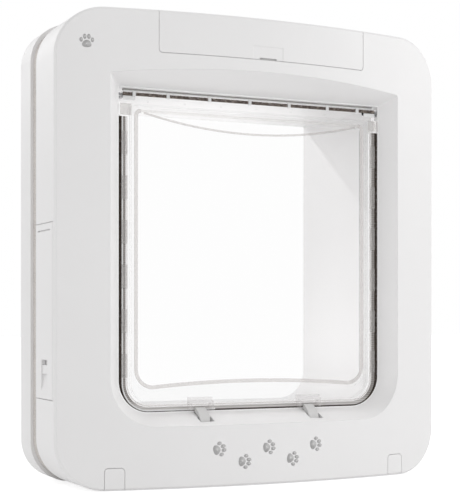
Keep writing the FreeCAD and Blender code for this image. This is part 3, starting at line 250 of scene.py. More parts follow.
# woven backing of the pile: ribs across it, paler at the foot of the flap
backingLook = {"deep": (0.2, 0.185, 0.175), "light": (0.36, 0.34, 0.325),
               "footDeep": (0.4, 0.385, 0.375), "footLight": (0.62, 0.6, 0.59),
               "foot": (0.0485, 0.0525), "ribs": 260, "distortion": 1.5}
backing, backingTree, backingShader = newFinish("pileBacking", (0.3, 0.28, 0.27), 0.85)
backingSpot = objectCoords(backingTree)
backingRibs = backingTree.nodes.new("ShaderNodeTexWave")
backingRibs.bands_direction = "Z"
backingRibs.inputs["Scale"].default_value = backingLook["ribs"]
backingRibs.inputs["Distortion"].default_value = backingLook["distortion"]
backingTree.links.new(backingSpot, backingRibs.inputs["Vector"])
backingHeight = backingTree.nodes.new("ShaderNodeSeparateXYZ")
backingTree.links.new(backingSpot, backingHeight.inputs[0])
backingBlend = backingTree.nodes.new("ShaderNodeMapRange")
for end, height in zip(("From Min", "From Max"), backingLook["foot"]):
    backingBlend.inputs[end].default_value = height
backingTree.links.new(backingHeight.outputs["Z"], backingBlend.inputs["Value"])
backingMix = backingTree.nodes.new("ShaderNodeMix")
backingMix.data_type = "RGBA"
backingTree.links.new(backingBlend.outputs["Result"], backingMix.inputs["Factor"])
for socket, deep, light in ((6, "footDeep", "footLight"), (7, "deep", "light")):
    tones = rampOf(backingTree, backingRibs.outputs["Fac"],
                   [(0.2, backingLook[deep]), (0.8, backingLook[light])])
    backingTree.links.new(tones, backingMix.inputs[socket])
backingTree.links.new(backingMix.outputs[2], backingShader.inputs["Base Color"])
bumpOf(backingTree, backingShader, backingRibs.outputs["Fac"], 0.4, 0.0002)


# plated and drawn metals: fine streaks along one axis and a wandering roughness
metalLook = {"clouds": 6, "wanderScale": 14, "wander": 0.07, "grain": 10, "grainStrength": 0.15,
             "grainHeight": 0.00004}


def makeMetal(name, colour, roughness, streaks):
    material, tree, shader = newFinish(name, colour, roughness, Metallic=1.0)
    spot = objectCoords(tree, streaks)
    base = np.array(colour)
    mottle(tree, shader, noiseOf(tree, spot, metalLook["clouds"], 4), (0.25, base * 0.85),
           (0.75, np.minimum(base * 1.1, 1)))
    roughnessOf(tree, shader, spot, metalLook["wanderScale"], roughness, metalLook["wander"])
    bumpOf(tree, shader, noiseOf(tree, spot, metalLook["grain"], 3), metalLook["grainStrength"],
           metalLook["grainHeight"])
    return material


zinc = makeMetal("zincSteel", (0.66, 0.66, 0.67), 0.3, (150, 40, 150))
nickel = makeMetal("nickelStrip", (0.72, 0.7, 0.66), 0.22, (40, 300, 300))
drawnSteel = makeMetal("drawnCan", (0.6, 0.6, 0.61), 0.34, (30, 400, 400))

# printed cell jackets: plain bands round the can, repeated for the two cells of a stack
cellLook = {"lowEnd": 0.0571, "pitch": 0.05, "jacket": (0.03, 0.035, 0.045),
            "band": (0.32, 0.34, 0.1), "bare": (0.62, 0.62, 0.6)}
cellJacket, cellTree, cellShader = newFinish("cellJacket", cellLook["jacket"], 0.3, Coat_Weight=0.3)
cellSpot = cellTree.nodes.new("ShaderNodeSeparateXYZ")
cellCoords = objectCoords(cellTree, (1, 1, 1 / cellLook["pitch"]), (0, 0, cellLook["lowEnd"]))
cellTree.links.new(cellCoords, cellSpot.inputs[0])
cellPart = mathOf(cellTree, "FRACT", cellSpot.outputs["Z"])
cellBands = rampOf(cellTree, cellPart, [(0.0, cellLook["bare"]), (0.03, cellLook["jacket"]),
                                        (0.62, cellLook["band"]), (0.66, cellLook["jacket"]),
                                        (0.7, cellLook["band"]), (0.93, cellLook["bare"])])
cellBands.node.color_ramp.interpolation = "CONSTANT"
cellTree.links.new(cellBands, cellShader.inputs["Base Color"])
roughnessOf(cellTree, cellShader, objectCoords(cellTree), 90, 0.3, 0.06)

# solder mask with faint tracks under it
boardLook = {"mask": (0.03, 0.17, 0.08), "track": (0.07, 0.32, 0.15)}
boardGreen, boardTree, boardShader = newFinish("boardMask", boardLook["mask"], 0.35,
                                               Coat_Weight=0.4)
boardTracks = boardTree.nodes.new("ShaderNodeTexBrick")
boardTracks.inputs["Scale"].default_value = 60
boardTracks.inputs["Mortar Size"].default_value = 0.07
for socket, tone in (("Color1", "mask"), ("Color2", "mask"), ("Mortar", "track")):
    boardTracks.inputs[socket].default_value = (*boardLook[tone], 1)
boardTurn = objectCoords(boardTree)
boardTurn.node.inputs["Rotation"].default_value = (math.radians(90), 0, 0)
boardTree.links.new(boardTurn, boardTracks.inputs["Vector"])
boardTree.links.new(boardTracks.outputs["Color"], boardShader.inputs["Base Color"])
bumpOf(boardTree, boardShader, boardTracks.outputs["Fac"], 0.3, 0.00005)

# lacquered coil wire and the lamp's lens, both with a faint drift in colour
copper, copperTree, copperShader = newFinish("lacqueredWire", (0.42, 0.15, 0.06), 0.25,
                                             Coat_Weight=0.5)
copperNoise = noiseOf(copperTree, objectCoords(copperTree, (300, 300, 300)), 1, 2)
mottle(copperTree, copperShader, copperNoise, (0.3, (0.34, 0.11, 0.04)), (0.7, (0.52, 0.2, 0.08)))

lens, lensTree, lensShader = newFinish("redLens", (0.62, 0.05, 0.04), 0.12, Coat_Weight=0.3,
                                       Transmission_Weight=0.5)
mottle(lensTree, lensShader, noiseOf(lensTree, objectCoords(lensTree), 500, 2),
       (0.3, (0.5, 0.03, 0.03)), (0.7, (0.7, 0.07, 0.05)))

finishes = {
    "white_case": white, "grey_latch": greyLatch, "clear_flap": clear, "dark_brush": pile,
    "grey_foam": foam, "steel": zinc, "spring_contact": nickel, "cell_jacket": cellJacket,
    "green_board": boardGreen, "coil_wire": copper, "button_cap": buttonCap, "lamp": lens,
    "motor_can": drawnSteel, "gear_plastic": acetal,
}

# every node in its slot's finish, with the keepers frosted
for entry in frame["record"]["subparts"]:
    node = nodes[entry["node"]]
    node.data.materials.clear()
    node.data.materials.append(finishes[entry["material_slot"]])
for label in ("left", "right"):
    nodes["flap_keeper_" + label].data.materials[0] = frostedKeeper
print("finishes made,", len(finishes))


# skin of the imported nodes: merges their loose triangles and keeps real edges sharp
skinLook = {"sharpAngle": 32, "mergeWithin": 0.000002}


def makeSkin(name):
    group = bpy.data.node_groups.new(name, "GeometryNodeTree")
    group.interface.new_socket("Geometry", in_out="INPUT", socket_type="NodeSocketGeometry")
    group.interface.new_socket("Geometry", in_out="OUTPUT", socket_type="NodeSocketGeometry")
    start = group.nodes.new("NodeGroupInput")
    end = group.nodes.new("NodeGroupOutput")
    merge = group.nodes.new("GeometryNodeMergeByDistance")
    merge.inputs["Distance"].default_value = skinLook["mergeWithin"]
    smooth = group.nodes.new("GeometryNodeSetShadeSmooth")
    angle = group.nodes.new("GeometryNodeInputMeshEdgeAngle")
    compare = group.nodes.new("FunctionNodeCompare")
    compare.data_type = "FLOAT"
    compare.operation = "GREATER_THAN"
    compare.inputs[1].default_value = math.radians(skinLook["sharpAngle"])
    sharp = group.nodes.new("GeometryNodeSetShadeSmooth")
    sharp.domain = "EDGE"
    sharp.inputs["Shade Smooth"].default_value = False
    group.links.new(start.outputs[0], merge.inputs["Geometry"])
    group.links.new(merge.outputs["Geometry"], smooth.inputs["Geometry"])
    group.links.new(smooth.outputs["Geometry"], sharp.inputs["Geometry"])
    group.links.new(angle.outputs["Unsigned Angle"], compare.inputs[0])
    group.links.new(compare.outputs["Result"], sharp.inputs["Selection"])
    group.links.new(sharp.outputs["Geometry"], end.inputs[0])
    return group


skin = makeSkin("smoothSkin")
for node in nodes.values():
    node.modifiers.new("smoothSkin", "NODES").node_group = skin
    weighted = node.modifiers.new("evenNormals", "WEIGHTED_NORMAL")
    weighted.keep_sharp = True
print("skins smoothed")


# one mesh piece from points in millimetres and lists of faces, riding on a body
def newPiece(name, points, faces, finish, body, smooth=True, replaced=()):
    mesh = bpy.data.meshes.new(name)
    mesh.from_pydata((np.asarray(points, float) * mm).tolist(), [], faces)
    mesh.polygons.foreach_set("use_smooth", np.full(len(mesh.polygons), smooth))
    mesh.materials.append(finish)
    mesh.update()
    piece = bpy.data.objects.new(name, mesh)
    bpy.context.scene.collection.objects.link(piece)
    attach(piece, body)
    if replaced:
        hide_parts(*replaced)
    return piece


# quads of a grid of rows by columns, closed across the columns and, if asked, across the rows
def gridFaces(rows, columns, first=0, closedRows=False, flip=False):
    row = np.arange(rows if closedRows else rows - 1)[:, None]
    column = np.arange(columns)[None, :]
    nextRow = (row + 1) % rows
    nextColumn = (column + 1) % columns
    quads = np.stack([row * columns + column, row * columns + nextColumn,
                      nextRow * columns + nextColumn, nextRow * columns + column], -1)
    quads = quads.reshape(-1, 4) + first
    return (quads[:, ::-1] if flip else quads).tolist()


# points in the flap's plane, set at one depth
def atDepth(x, y, z):
    return np.stack([x, np.full_like(x, y), z], 1)


# the rail at the flap's edge is a U of two straight sides and two quarter rounds under them
rail = {"half": 87.9, "low": 45.7, "radius": 17.0, "top": 223.3}
railSide = rail["top"] - rail["low"] - rail["radius"]
railBend = math.pi / 2 * rail["radius"]
railLength = 2 * railSide + 2 * railBend + 2 * (rail["half"] - rail["radius"])


# x and z at length u along the rail from its top left, at distance out from its edge, with the
# outward direction there: on a bend at angle t, centre - (radius + out) * (cos t, sin t)
def onRail(u, out):
    mirrored = u > railLength / 2
    v = np.where(mirrored, railLength - u, u)
    turn = np.clip((v - railSide) / railBend, 0, 1) * math.pi / 2
    centreX = -(rail["half"] - rail["radius"]) + np.clip(v - railSide - railBend, 0, None)
    centreZ = rail["low"] + rail["radius"] + np.clip(railSide - v, 0, None)
    normalX = -np.cos(turn)
    normalZ = -np.sin(turn)
    x = centreX + normalX * (rail["radius"] + out)
    z = centreZ + normalZ * (rail["radius"] + out)
    sign = np.where(mirrored, -1.0, 1.0)
    return x * sign, z, normalX * sign, normalZ


# pile: every bristle is a thin three-sided spike of seven points from its root to its tip, a
# little bent, with a short blunt end
bristle = {"thick": 0.14, "bluntFrom": 0.88, "bend": 0.04, "taper": 0.85}


def pileMesh(name, roots, tips, finish, replaced):
    roots, tips = np.concatenate(roots), np.concatenate(tips)
    count = len(roots)
    way = tips - roots
    length = np.linalg.norm(way, axis=1, keepdims=True)
    way = way / length
    across = np.cross(way, dice.normal(size=(count, 3)))
    across /= np.linalg.norm(across, axis=1, keepdims=True)
    other = np.cross(way, across)
    middle = roots + way * length * bristle["bluntFrom"] + across * length * bristle["bend"]
    rings = []
    for centre, radius in ((roots, bristle["thick"]),
                           (middle, bristle["thick"] * bristle["taper"])):
        for step in range(3):
            swing = 2 * math.pi * step / 3
            rings.append(centre + radius * (across * math.cos(swing) + other * math.sin(swing)))
    points = np.stack(rings + [tips], 1).reshape(-1, 3)
    start = np.arange(count)[:, None] * 7
    quads = np.concatenate([start + np.array([a, (a + 1) % 3, 3 + (a + 1) % 3, 3 + a])
                            for a in range(3)])
    caps = np.concatenate([start + np.array([3 + a, 3 + (a + 1) % 3, 6]) for a in range(3)]
                          + [start + np.array([2, 1, 0])])
    return newPiece(name, points, quads.tolist() + caps.tolist(), finish, "flap",
                    True, (replaced,))


# pile round the sides and foot of the flap, in rows one behind the other
edgePile = {"rows": (-42.0, -41.5, -41.0, -40.5, -40.0, -39.5), "pitch": 0.27, "ends": 0.2,
            "root": 0.1, "sideReach": 2.2, "footReach": 0.9, "scatter": 0.14,
            "depthScatter": 0.08, "trim": 0.12}
roots, tips = [], []
for y in edgePile["rows"]:
    u = np.arange(edgePile["ends"], railLength - edgePile["ends"], edgePile["pitch"])
    u = u + dice.uniform(-0.5, 0.5, len(u)) * edgePile["pitch"]
    x, z, _, normalZ = onRail(u, -edgePile["root"])
    reach = edgePile["sideReach"] + (edgePile["footReach"] - edgePile["sideReach"]) * normalZ ** 2
    tipU = u + dice.normal(0, edgePile["scatter"], len(u))
    tipX, tipZ, _, _ = onRail(tipU, reach - dice.uniform(0, edgePile["trim"], len(u)))
    roots.append(atDepth(x, y, z))
    tips.append(np.stack([tipX, y + dice.normal(0, edgePile["depthScatter"], len(u)), tipZ], 1))
pileMesh("edgePile", roots, tips, pile, "edge_brush")

# strips round the rail, each a slim rectangle between two distances in from its edge and two
# depths: the backing of the pile, a pale strip outside it that is a painted highlight on the rail's
# edge, over the left part of the rail only, and a grey line inside it, painted shade for refraction
strips = {"straight": 158.0, "steps": 110,
          "backing": {"inward": (0.0, 2.3), "depths": (-42.0, -41.7)},
          "lip": {"inward": (-0.25, 0.6), "depths": (-42.15, -41.75), "share": 0.45},
          "line": {"inward": (2.75, 3.5), "depths": (-42.0, -41.75)}}


def railStrip(name, look, finish):
    bends = np.linspace(strips["straight"], railLength - strips["straight"], strips["steps"])
    u = np.concatenate([[0.0], bends, [railLength]])
    u = u[u <= look.get("share", 1) * railLength]
    (outer, inner), (front, back) = look["inward"], look["depths"]
    corners = []
    for inward, y in ((outer, front), (inner, front), (inner, back), (outer, back)):
        x, z, _, _ = onRail(u, -inward)
        corners.append(atDepth(x, y, z))
    points = np.stack(corners, 1).reshape(-1, 3)
    ends = [[0, 1, 2, 3], [len(points) - 1 - k for k in range(4)]]
    return newPiece(name, points, gridFaces(len(u), 4, flip=True) + ends, finish, "flap",
                    False)


railStrip("pileBacking", strips["backing"], backing)
railStrip("railEdgeHighlight", strips["lip"], whiteFrostAndHighlight)
railStrip("railLine", strips["line"], beadPaintedShade)

# pile along the top edge of the flap
topPile = {"rows": (-42.6, -42.3, -42.0), "half": 87.4, "pitch": 0.24, "low": 235.95,
           "high": 238.1, "scatter": 0.14, "depthScatter": 0.05, "trim": 0.15}
roots, tips = [], []
for y in topPile["rows"]:
    x = np.arange(-topPile["half"], topPile["half"], topPile["pitch"])
    roots.append(atDepth(x, y, np.full_like(x, topPile["low"])))
    tips.append(np.stack([x + dice.normal(0, topPile["scatter"], len(x)),
                          y + dice.normal(0, topPile["depthScatter"], len(x)),
                          topPile["high"] - dice.uniform(0, topPile["trim"], len(x))], 1))
pileMesh("topPile", roots, tips, palerPile, "top_brush")
print("brush pile made")


# an outline with round corners, by its half width, low and high edge, low and high radius, and
# how far its foot bows up in the middle; it starts at the right and goes over the top
outlineSteps = {"corner": 14, "foot": 40}


def outlineOf(half, low, high, lowRadius, highRadius, bow):
    runs = []
    for side, radius, start in ((1, highRadius, 0), (-1, highRadius, 90),
                                (-1, lowRadius, 180), (1, lowRadius, 270)):
        swing = np.radians(start + np.linspace(0, 90, outlineSteps["corner"]))
        centreZ = high - radius if start < 180 else low + radius
        runs.append(np.stack([side * (half - radius) + radius * np.cos(swing),
                              centreZ + radius * np.sin(swing)], 1))
    foot = np.linspace(-1, 1, outlineSteps["foot"])[1:-1] * (half - lowRadius)
    runs.insert(3, np.stack([foot, low + bow * (1 - (foot / (half - lowRadius)) ** 2)], 1))
    return np.concatenate(runs)


# the sideways direction at each point of a line: its own direction turned by a quarter
def sidewaysOf(line, closed=False):
    along = np.roll(line, -1, 0) - np.roll(line, 1, 0) if closed else np.gradient(line, axis=0)
    along /= np.linalg.norm(along, axis=1, keepdims=True)
    return np.stack([along[:, 1], -along[:, 0]], 1)


# a bead carried along a line in the flap's plane: its section is half an ellipse that stands on
# the sheet, over a foot sunk a little into it
beadLook = {"steps": 9, "sunk": 0.12, "footShare": 0.98}


def beadMesh(name, line, side, look, finish, closed=False, body="flap"):
    swing = np.linspace(0, math.pi, beadLook["steps"])
    half = look["width"] / 2
    foot = half * beadLook["footShare"]
    across = np.concatenate([np.cos(swing) * half, [-foot, foot]])
    proud = np.concatenate([np.sin(swing) * look["height"], [-beadLook["sunk"]] * 2])
    points = np.stack([line[:, :1] + side[:, :1] * across,
                       np.tile(look["base"] - proud, (len(line), 1)),
                       line[:, 1:] + side[:, 1:] * across], -1)
    faces = gridFaces(len(line), len(across), closedRows=closed, flip=True)
    if not closed:
        last = (len(line) - 1) * len(across)
        faces += [list(range(len(across))), [last + k for k in reversed(range(len(across)))]]
    return newPiece(name, points.reshape(-1, 3), faces, finish, body)


# window frame of the sheet: straight sides, round lower corners and a foot that bows up, with a
# slimmer run along its top; the clear frame is painted grey, shade standing in for its refraction,
# and its top run is painted lighter
sheetFace = -41.15
windowBead = {"outline": (78.65, 59.9, 227.2, 11.0, 3.0, 2.9), "width": 2.4, "height": 0.5,
              "base": sheetFace}
headerBead = {"steps": 9, "width": 1.6, "height": 0.5, "base": sheetFace}
frameLine = np.roll(outlineOf(*windowBead["outline"]), -outlineSteps["corner"], 0)
beadMesh("windowBead", frameLine, sidewaysOf(frameLine), windowBead, beadPaintedShade)
headerLine = np.linspace(frameLine[0], frameLine[-1], headerBead["steps"])
beadMesh("headerBead", headerLine, sidewaysOf(headerLine), headerBead, headerBeadPaintedLighter)

# rounded mouth of the tunnel, where the reveal runs into it; its whiter moulding is a painted
# highlight along the edge
mouthBead = {"outline": (90.55, 44.45, 241.05, 20.0, 1.2, 0.0), "width": 1.1, "height": 0.35,
             "base": -42.0}
mouthLine = outlineOf(*mouthBead["outline"])
beadMesh("tunnelMouth", mouthLine, sidewaysOf(mouthLine, True), mouthBead, mouthHighlightMoulding, True,
         "base")


# a flat ring between two outlines and two depths
def flatRing(name, look, finish, body):
    inner, outer = outlineOf(*look["inner"]), outlineOf(*look["outer"])
    front, back = look["depths"]
    corners = [atDepth(edge[:, 0], y, edge[:, 1])
               for edge, y in ((inner, front), (outer, front), (outer, back), (inner, back))]
    return newPiece(name, np.stack(corners, 1).reshape(-1, 3),
                    gridFaces(len(inner), 4, closedRows=True), finish, body, False)


# faint bloom on the rim of the sheet, from the window frame out to the rail
rim = {"inner": (80.1, 58.5, 227.5, 12.5, 3.5, 2.9), "outer": (84.6, 49.2, 231.5, 14.0, 2.0, 0.0),
       "depths": (-40.75, -40.55)}
flatRing("sheetRim", rim, frostedRim, "flap")

# sag line under the top of the window: an arc of a large circle, R sin t across and
# lowest + R (1 - cos t) up
sagBead = {"half": 73.5, "radius": 304.0, "lowest": 217.2, "steps": 60, "width": 1.3,
           "height": 0.45, "base": sheetFace}
swing = np.linspace(-1, 1, sagBead["steps"]) * math.asin(sagBead["half"] / sagBead["radius"])
sagLine = np.stack([sagBead["radius"] * np.sin(swing),
                    sagBead["lowest"] + sagBead["radius"] * (1 - np.cos(swing))], 1)
# painted grey like the window frame: shade standing in for refraction in the clear ridge
beadMesh("sagBead", sagLine, np.stack([np.sin(swing), -np.cos(swing)], 1), sagBead, beadPaintedShade)


# slabs with eased edges, each given by x, z and y from and to, with its front first
slabFaces = ((3, 2, 1, 0), (4, 5, 6, 7), (0, 1, 5, 4), (1, 2, 6, 5), (2, 3, 7, 6), (3, 0, 4, 7))


def slabs(name, spots, ease, finish, body="flap"):
    points, faces = [], []
    for left, right, low, high, front, back in spots:
        faces += [[len(points) + k for k in face] for face in slabFaces]
        for y in (back, front):
            points += [(left, y, low), (right, y, low), (right, y, high), (left, y, high)]
    piece = newPiece(name, points, faces, finish, body, False)
    easing = piece.modifiers.new("easedEdges", "BEVEL")
    easing.width = ease * mm
    easing.segments = 2
    return piece


def mirrored(spot):
    return (-spot[1], -spot[0], *spot[2:])


# frosted clips over the brush channel of each side
sideClip = {"x": (84.5, 87.9), "from": 66.2, "pitch": 26.8, "length": 14.3, "count": 6,
            "depths": (-42.6, -42.2), "ease": 0.25}
sideSpots = []
for step in range(sideClip["count"]):
    low = sideClip["from"] + step * sideClip["pitch"]
    sideSpots.append((*sideClip["x"], low, low + sideClip["length"], *sideClip["depths"]))
slabs("sideClips", sideSpots + [mirrored(spot) for spot in sideSpots], sideClip["ease"],
      frostedClip)

# the same over the top channel, under one long strip: both painted white as highlights, the strip
# for the flap's top edge
topClip = {"x": (-80.4, -58.3, -30.7, -3.1, 24.5, 52.1, 74.2), "half": 1.05,
           "heights": (235.3, 238.45), "depths": (-43.2, -42.0), "ease": 0.2,
           "strip": (-86.9, 86.9, 238.5, 239.05, -42.6, -41.4)}
topSpots = [(x - topClip["half"], x + topClip["half"], *topClip["heights"], *topClip["depths"])
            for x in topClip["x"]]
slabs("topClips", topSpots + [topClip["strip"]], topClip["ease"], whiteFrostAndHighlight)

# grey bar over the hinge line, painted shade for the shaded gap above the flap; frosted covers
# before the hinge pins, and greyish covers at the corners that paint shade over the corner blocks
gapShadeBar = {"spot": (-86.9, 86.9, 239.15, 240.45, -40.7, -38.7), "ease": 0.5}
pinCover = {"spot": (79.6, 87.6, 233.2, 235.75, -42.5, -42.05), "ease": 0.2}
cornerCover = {"spot": (82.2, 89.5, 224.0, 231.0, -43.15, -42.93), "ease": 0.08}
slabs("hingeGapShade", [gapShadeBar["spot"]], gapShadeBar["ease"], gapShadeFrost)
for name, look, finish in (("pinCovers", pinCover, whiteFrostAndHighlight),
                           ("cornerShadeSlabs", cornerCover, frostedClip)):
    slabs(name, [mirrored(look["spot"]), look["spot"]], look["ease"], finish)

# small pips in a row under the top edge
pips = {"from": -71.0, "pitch": 24.4, "count": 6, "half": 0.7, "heights": (232.6, 233.6),
        "depths": (-41.1, -40.45), "ease": 0.25}
pipSpots = []
for step in range(pips["count"]):
    x = pips["from"] + step * pips["pitch"]
    pipSpots.append((x - pips["half"], x + pips["half"], *pips["heights"], *pips["depths"]))
slabs("sheetPips", pipSpots, pips["ease"], frostedRim)
print("beads and clips set")

# foam lip round the gasket: it fills the corners close up to the shell
foamLip = {"inner": (125.2, 5.8, 279.8, 21.0, 21.0, 0.0),
           "outer": (129.2, 1.8, 283.8, 25.0, 25.0, 0.0), "depths": (-6.9, 3.9)}
flatRing("foamLip", foamLip, foam, "base")

# pale floor of the finger notch under the button cover
notchFloor = {"spot": (-5.7, 5.7, 260.36, 261.24, -61.5, -60.6), "ease": 0.1}
slabs("notchFloor", [notchFloor["spot"]], notchFloor["ease"], greyLatch, "button_cover")

# reader coil: a loop of round corners whose section is a stack of wires, so its profile runs
# round the stack's edge in half-round lobes, one for each wire
coil = {"half": 94.4, "low": 40.6, "high": 244.9, "topRadius": 4.9, "lowRadius": 23.9,
        "turns": 11, "layers": 2, "wire": 0.34, "middleY": -17.0, "cornerSteps": 9,
        "lobeHalf": 80, "lobeSteps": 5}
turns, layers, wire = coil["turns"], coil["layers"], coil["wire"]
lobe = np.linspace(-coil["lobeHalf"], coil["lobeHalf"], coil["lobeSteps"])
lobes = []
for quarter, (wayX, wayY) in enumerate(((1, 0), (0, 1), (-1, 0), (0, -1))):
    count, depth = (turns, layers) if wayX else (layers, turns)
    swing = np.radians(lobe + 90 * quarter)
    for index in range(count):
        out = (depth - 1) * wire
        along = (2 * index - count + 1) * wire
        lobes.append(np.stack([out * wayX - along * wayY + wire * np.cos(swing),
                               out * wayY + along * wayX + wire * np.sin(swing)], 1))
profile = np.concatenate(lobes)
corner = np.linspace(0, math.pi / 2, coil["cornerSteps"])
loop = []
for quarter, (side, edge, bend) in enumerate(((1, "high", "topRadius"), (-1, "high", "topRadius"),
                                              (-1, "low", "lowRadius"), (1, "low", "lowRadius"))):
    swing = corner + quarter * math.pi / 2
    radius = coil[bend]
    middleZ = coil[edge] + (radius if edge == "low" else -radius)
    loop.append(np.stack([side * (coil["half"] - radius) + 0 * swing, middleZ + 0 * swing,
                          np.cos(swing), np.sin(swing), radius + 0 * swing], 1))
loop = np.concatenate(loop)
outward = loop[:, 4:5] - layers * wire + profile[None, :, 0]
coilPoints = np.stack([loop[:, None, 0] + loop[:, None, 2] * outward,
                       np.tile(coil["middleY"] + profile[:, 1], (len(loop), 1)),
                       loop[:, None, 1] + loop[:, None, 3] * outward], -1)
newPiece("coilWinding", coilPoints.reshape(-1, 3),
         gridFaces(len(loop), len(profile), closedRows=True), copper, "base", True,
         ("antenna_coil",))
print("coil wound")

# crowned face of the fascia, an arc over its width: front + R - sqrt(R^2 - x^2)
crown = {"front": -62.5, "radius": 499.06}


def crownDepth(x):
    return crown["front"] + crown["radius"] - np.sqrt(crown["radius"] ** 2 - x ** 2)


# generic paw prints: each pad is a low pebble on the crown. Its edge at angle a is the ellipse
# (halfX cos a, halfZ sin a), the heel pad narrower at its front by the squeeze; span and lift
# give its rings from the middle to the edge. Pads are in shares of the print's size, prints by
# x, z, size and turn
paw = {"sides": 28, "height": 0.045, "squeeze": 0.28,
       "span": (0.02, 0.4, 0.75, 0.93, 1.0, 1.0), "lift": (1.0, 0.97, 0.85, 0.5, 0.1, -1.4),
       "heel": (0, -0.12, 0.30, 0.25),
       "toes": ((-0.36, 0.13, 0.115, 0.155), (-0.13, 0.34, 0.12, 0.17),
                (0.13, 0.34, 0.12, 0.17), (0.36, 0.13, 0.115, 0.155)),
       "prints": ((-112.6, 264.3, 9.0, 0), (-33, 22.6, 9.6, -78), (-16.5, 14.7, 9.6, -94),
                  (0, 22.8, 9.6, -84), (16.5, 15.1, 9.6, -98), (33, 23.2, 9.6, -82))}
pawPoints, pawFaces = [], []
angle = np.linspace(0, 2 * math.pi, paw["sides"], endpoint=False)[None, :]
span = np.array(paw["span"])[:, None]
lift = np.array(paw["lift"])[:, None]
for middleX, middleZ, size, turn in paw["prints"]:
    swing = math.radians(turn)
    for pad in (paw["heel"], *paw["toes"]):
        padX, padZ, halfX, halfZ = pad
        narrow = 1 - paw["squeeze"] * np.sin(angle) if pad == paw["heel"] else 1
        x = (padX + halfX * span * np.cos(angle) * narrow) * size
        z = (padZ + halfZ * span * np.sin(angle)) * size
        atX = middleX + x * math.cos(swing) - z * math.sin(swing)
        atZ = middleZ + x * math.sin(swing) + z * math.cos(swing)
        first = sum(len(ring) for ring in pawPoints)
        last = first + (len(span) - 1) * paw["sides"]
        pawPoints.append(np.stack([atX, crownDepth(atX) - paw["height"] * lift, atZ],
                                  -1).reshape(-1, 3))
        pawFaces += gridFaces(len(span), paw["sides"], first, flip=True)
        pawFaces += [[first + k for k in range(paw["sides"])],
                     [last + k for k in reversed(range(paw["sides"]))]]
newPiece("pawMarks", np.concatenate(pawPoints), pawFaces, markInk, "base")
print("marks set")

# fixing screws: a shank whose radius winds up and down as a thread along it, shank - thread * w
# with w a triangle wave of y / pitch + angle, under a domed head with a cross recess
screw = {"places": ((-96.5, 7.6), (96.5, 7.6), (-60, 272.0), (60, 272.0)), "sides": 32,
         "tip": 19.0, "taper": 3, "tipShare": 0.25, "neck": 0.3, "shank": 2.0, "pitch": 1.4,
         "pitchSteps": 6, "thread": 0.3, "headBack": -45.0, "headFront": -47.4,
         "headRadius": 3.9, "headEdge": 0.62, "domeSteps": 15, "cross": 1.5, "arm": 0.42,
         "armEase": 0.12, "armEnd": 2.35, "endEase": 0.3}
angle = np.linspace(0, 2 * math.pi, screw["sides"], endpoint=False)[None, :]
y = np.arange(screw["tip"], screw["headBack"] + screw["neck"],
              -screw["pitch"] / screw["pitchSteps"])[:, None]
wave = np.abs(((y / screw["pitch"] + angle / (2 * math.pi)) % 1) - 0.5) * 2
point = np.clip((screw["tip"] - y) / screw["taper"] + screw["tipShare"], 0, 1)
radius = (screw["shank"] - screw["thread"] * wave) * point
shank = np.stack([radius * np.cos(angle), np.broadcast_to(y, radius.shape),
                  radius * np.sin(angle)], -1)
inner = np.linspace(0.97, 0.02, screw["domeSteps"])
edge = screw["headEdge"]
share = np.concatenate([[1.0, 1.0], inner])[:, None]
dome = np.concatenate([[0.0, edge], edge + (1 - edge) * np.sqrt(1 - inner ** 2)])[:, None]
flatX = share * np.cos(angle) * screw["headRadius"]
flatZ = share * np.sin(angle) * screw["headRadius"]
beside = np.minimum(np.abs(flatX), np.abs(flatZ))
recess = (np.clip((screw["arm"] - beside) / screw["armEase"], 0, 1)
          * np.clip((screw["armEnd"] - np.hypot(flatX, flatZ)) / screw["endEase"], 0, 1))
headY = (screw["headBack"] + (screw["headFront"] - screw["headBack"]) * dome
         + screw["cross"] * recess * (share < 1))
rows = np.concatenate([shank, np.stack([flatX, headY, flatZ], -1)])
screwPoints, screwFaces = [], []
for number, (x, z) in enumerate(screw["places"]):
    first = number * rows.shape[0] * rows.shape[1]
    last = first + (len(rows) - 1) * screw["sides"]
    screwPoints.append((rows + np.array([x, 0, z])).reshape(-1, 3))
    screwFaces += gridFaces(len(rows), screw["sides"], first)
    screwFaces += [[first + k for k in reversed(range(screw["sides"]))],
                   [last + k for k in range(screw["sides"])]]
newPiece("crossScrews", np.concatenate(screwPoints), screwFaces, zinc, "base", True,
         ("fixing_screws",))
print("screws cut")

# small parts on the control board, each by its middle x and z, width, height and rise
board = {"front": -49.0, "sunk": 0.05, "ease": 0.12,
         "chips": ((-30, 262, 9, 9, 1.3), (-6, 258, 6, 5, 1.1), (-38, 274, 5, 3, 1.2),
                   (32, 262, 7, 5, 1.2), (12, 256, 3, 2, 0.9), (38, 272, 4, 3, 1.0)),
         "small": (1.6, 0.8, 0.55), "smallFrom": (8, 259.5), "smallStep": (2.6, 3.2),
         "smallRows": 2, "smallColumns": 7}
chips = list(board["chips"])
for row in range(board["smallRows"]):
    for column in range(board["smallColumns"]):
        chips.append((board["smallFrom"][0] + column * board["smallStep"][0],
                      board["smallFrom"][1] + row * board["smallStep"][1], *board["small"]))
boardSpots = [(x - width / 2, x + width / 2, z - height / 2, z + height / 2,
               board["front"] - rise, board["front"] + board["sunk"])
              for x, z, width, height, rise in chips]
slabs("boardParts", boardSpots, board["ease"], buttonCap, "base")
print("board filled")


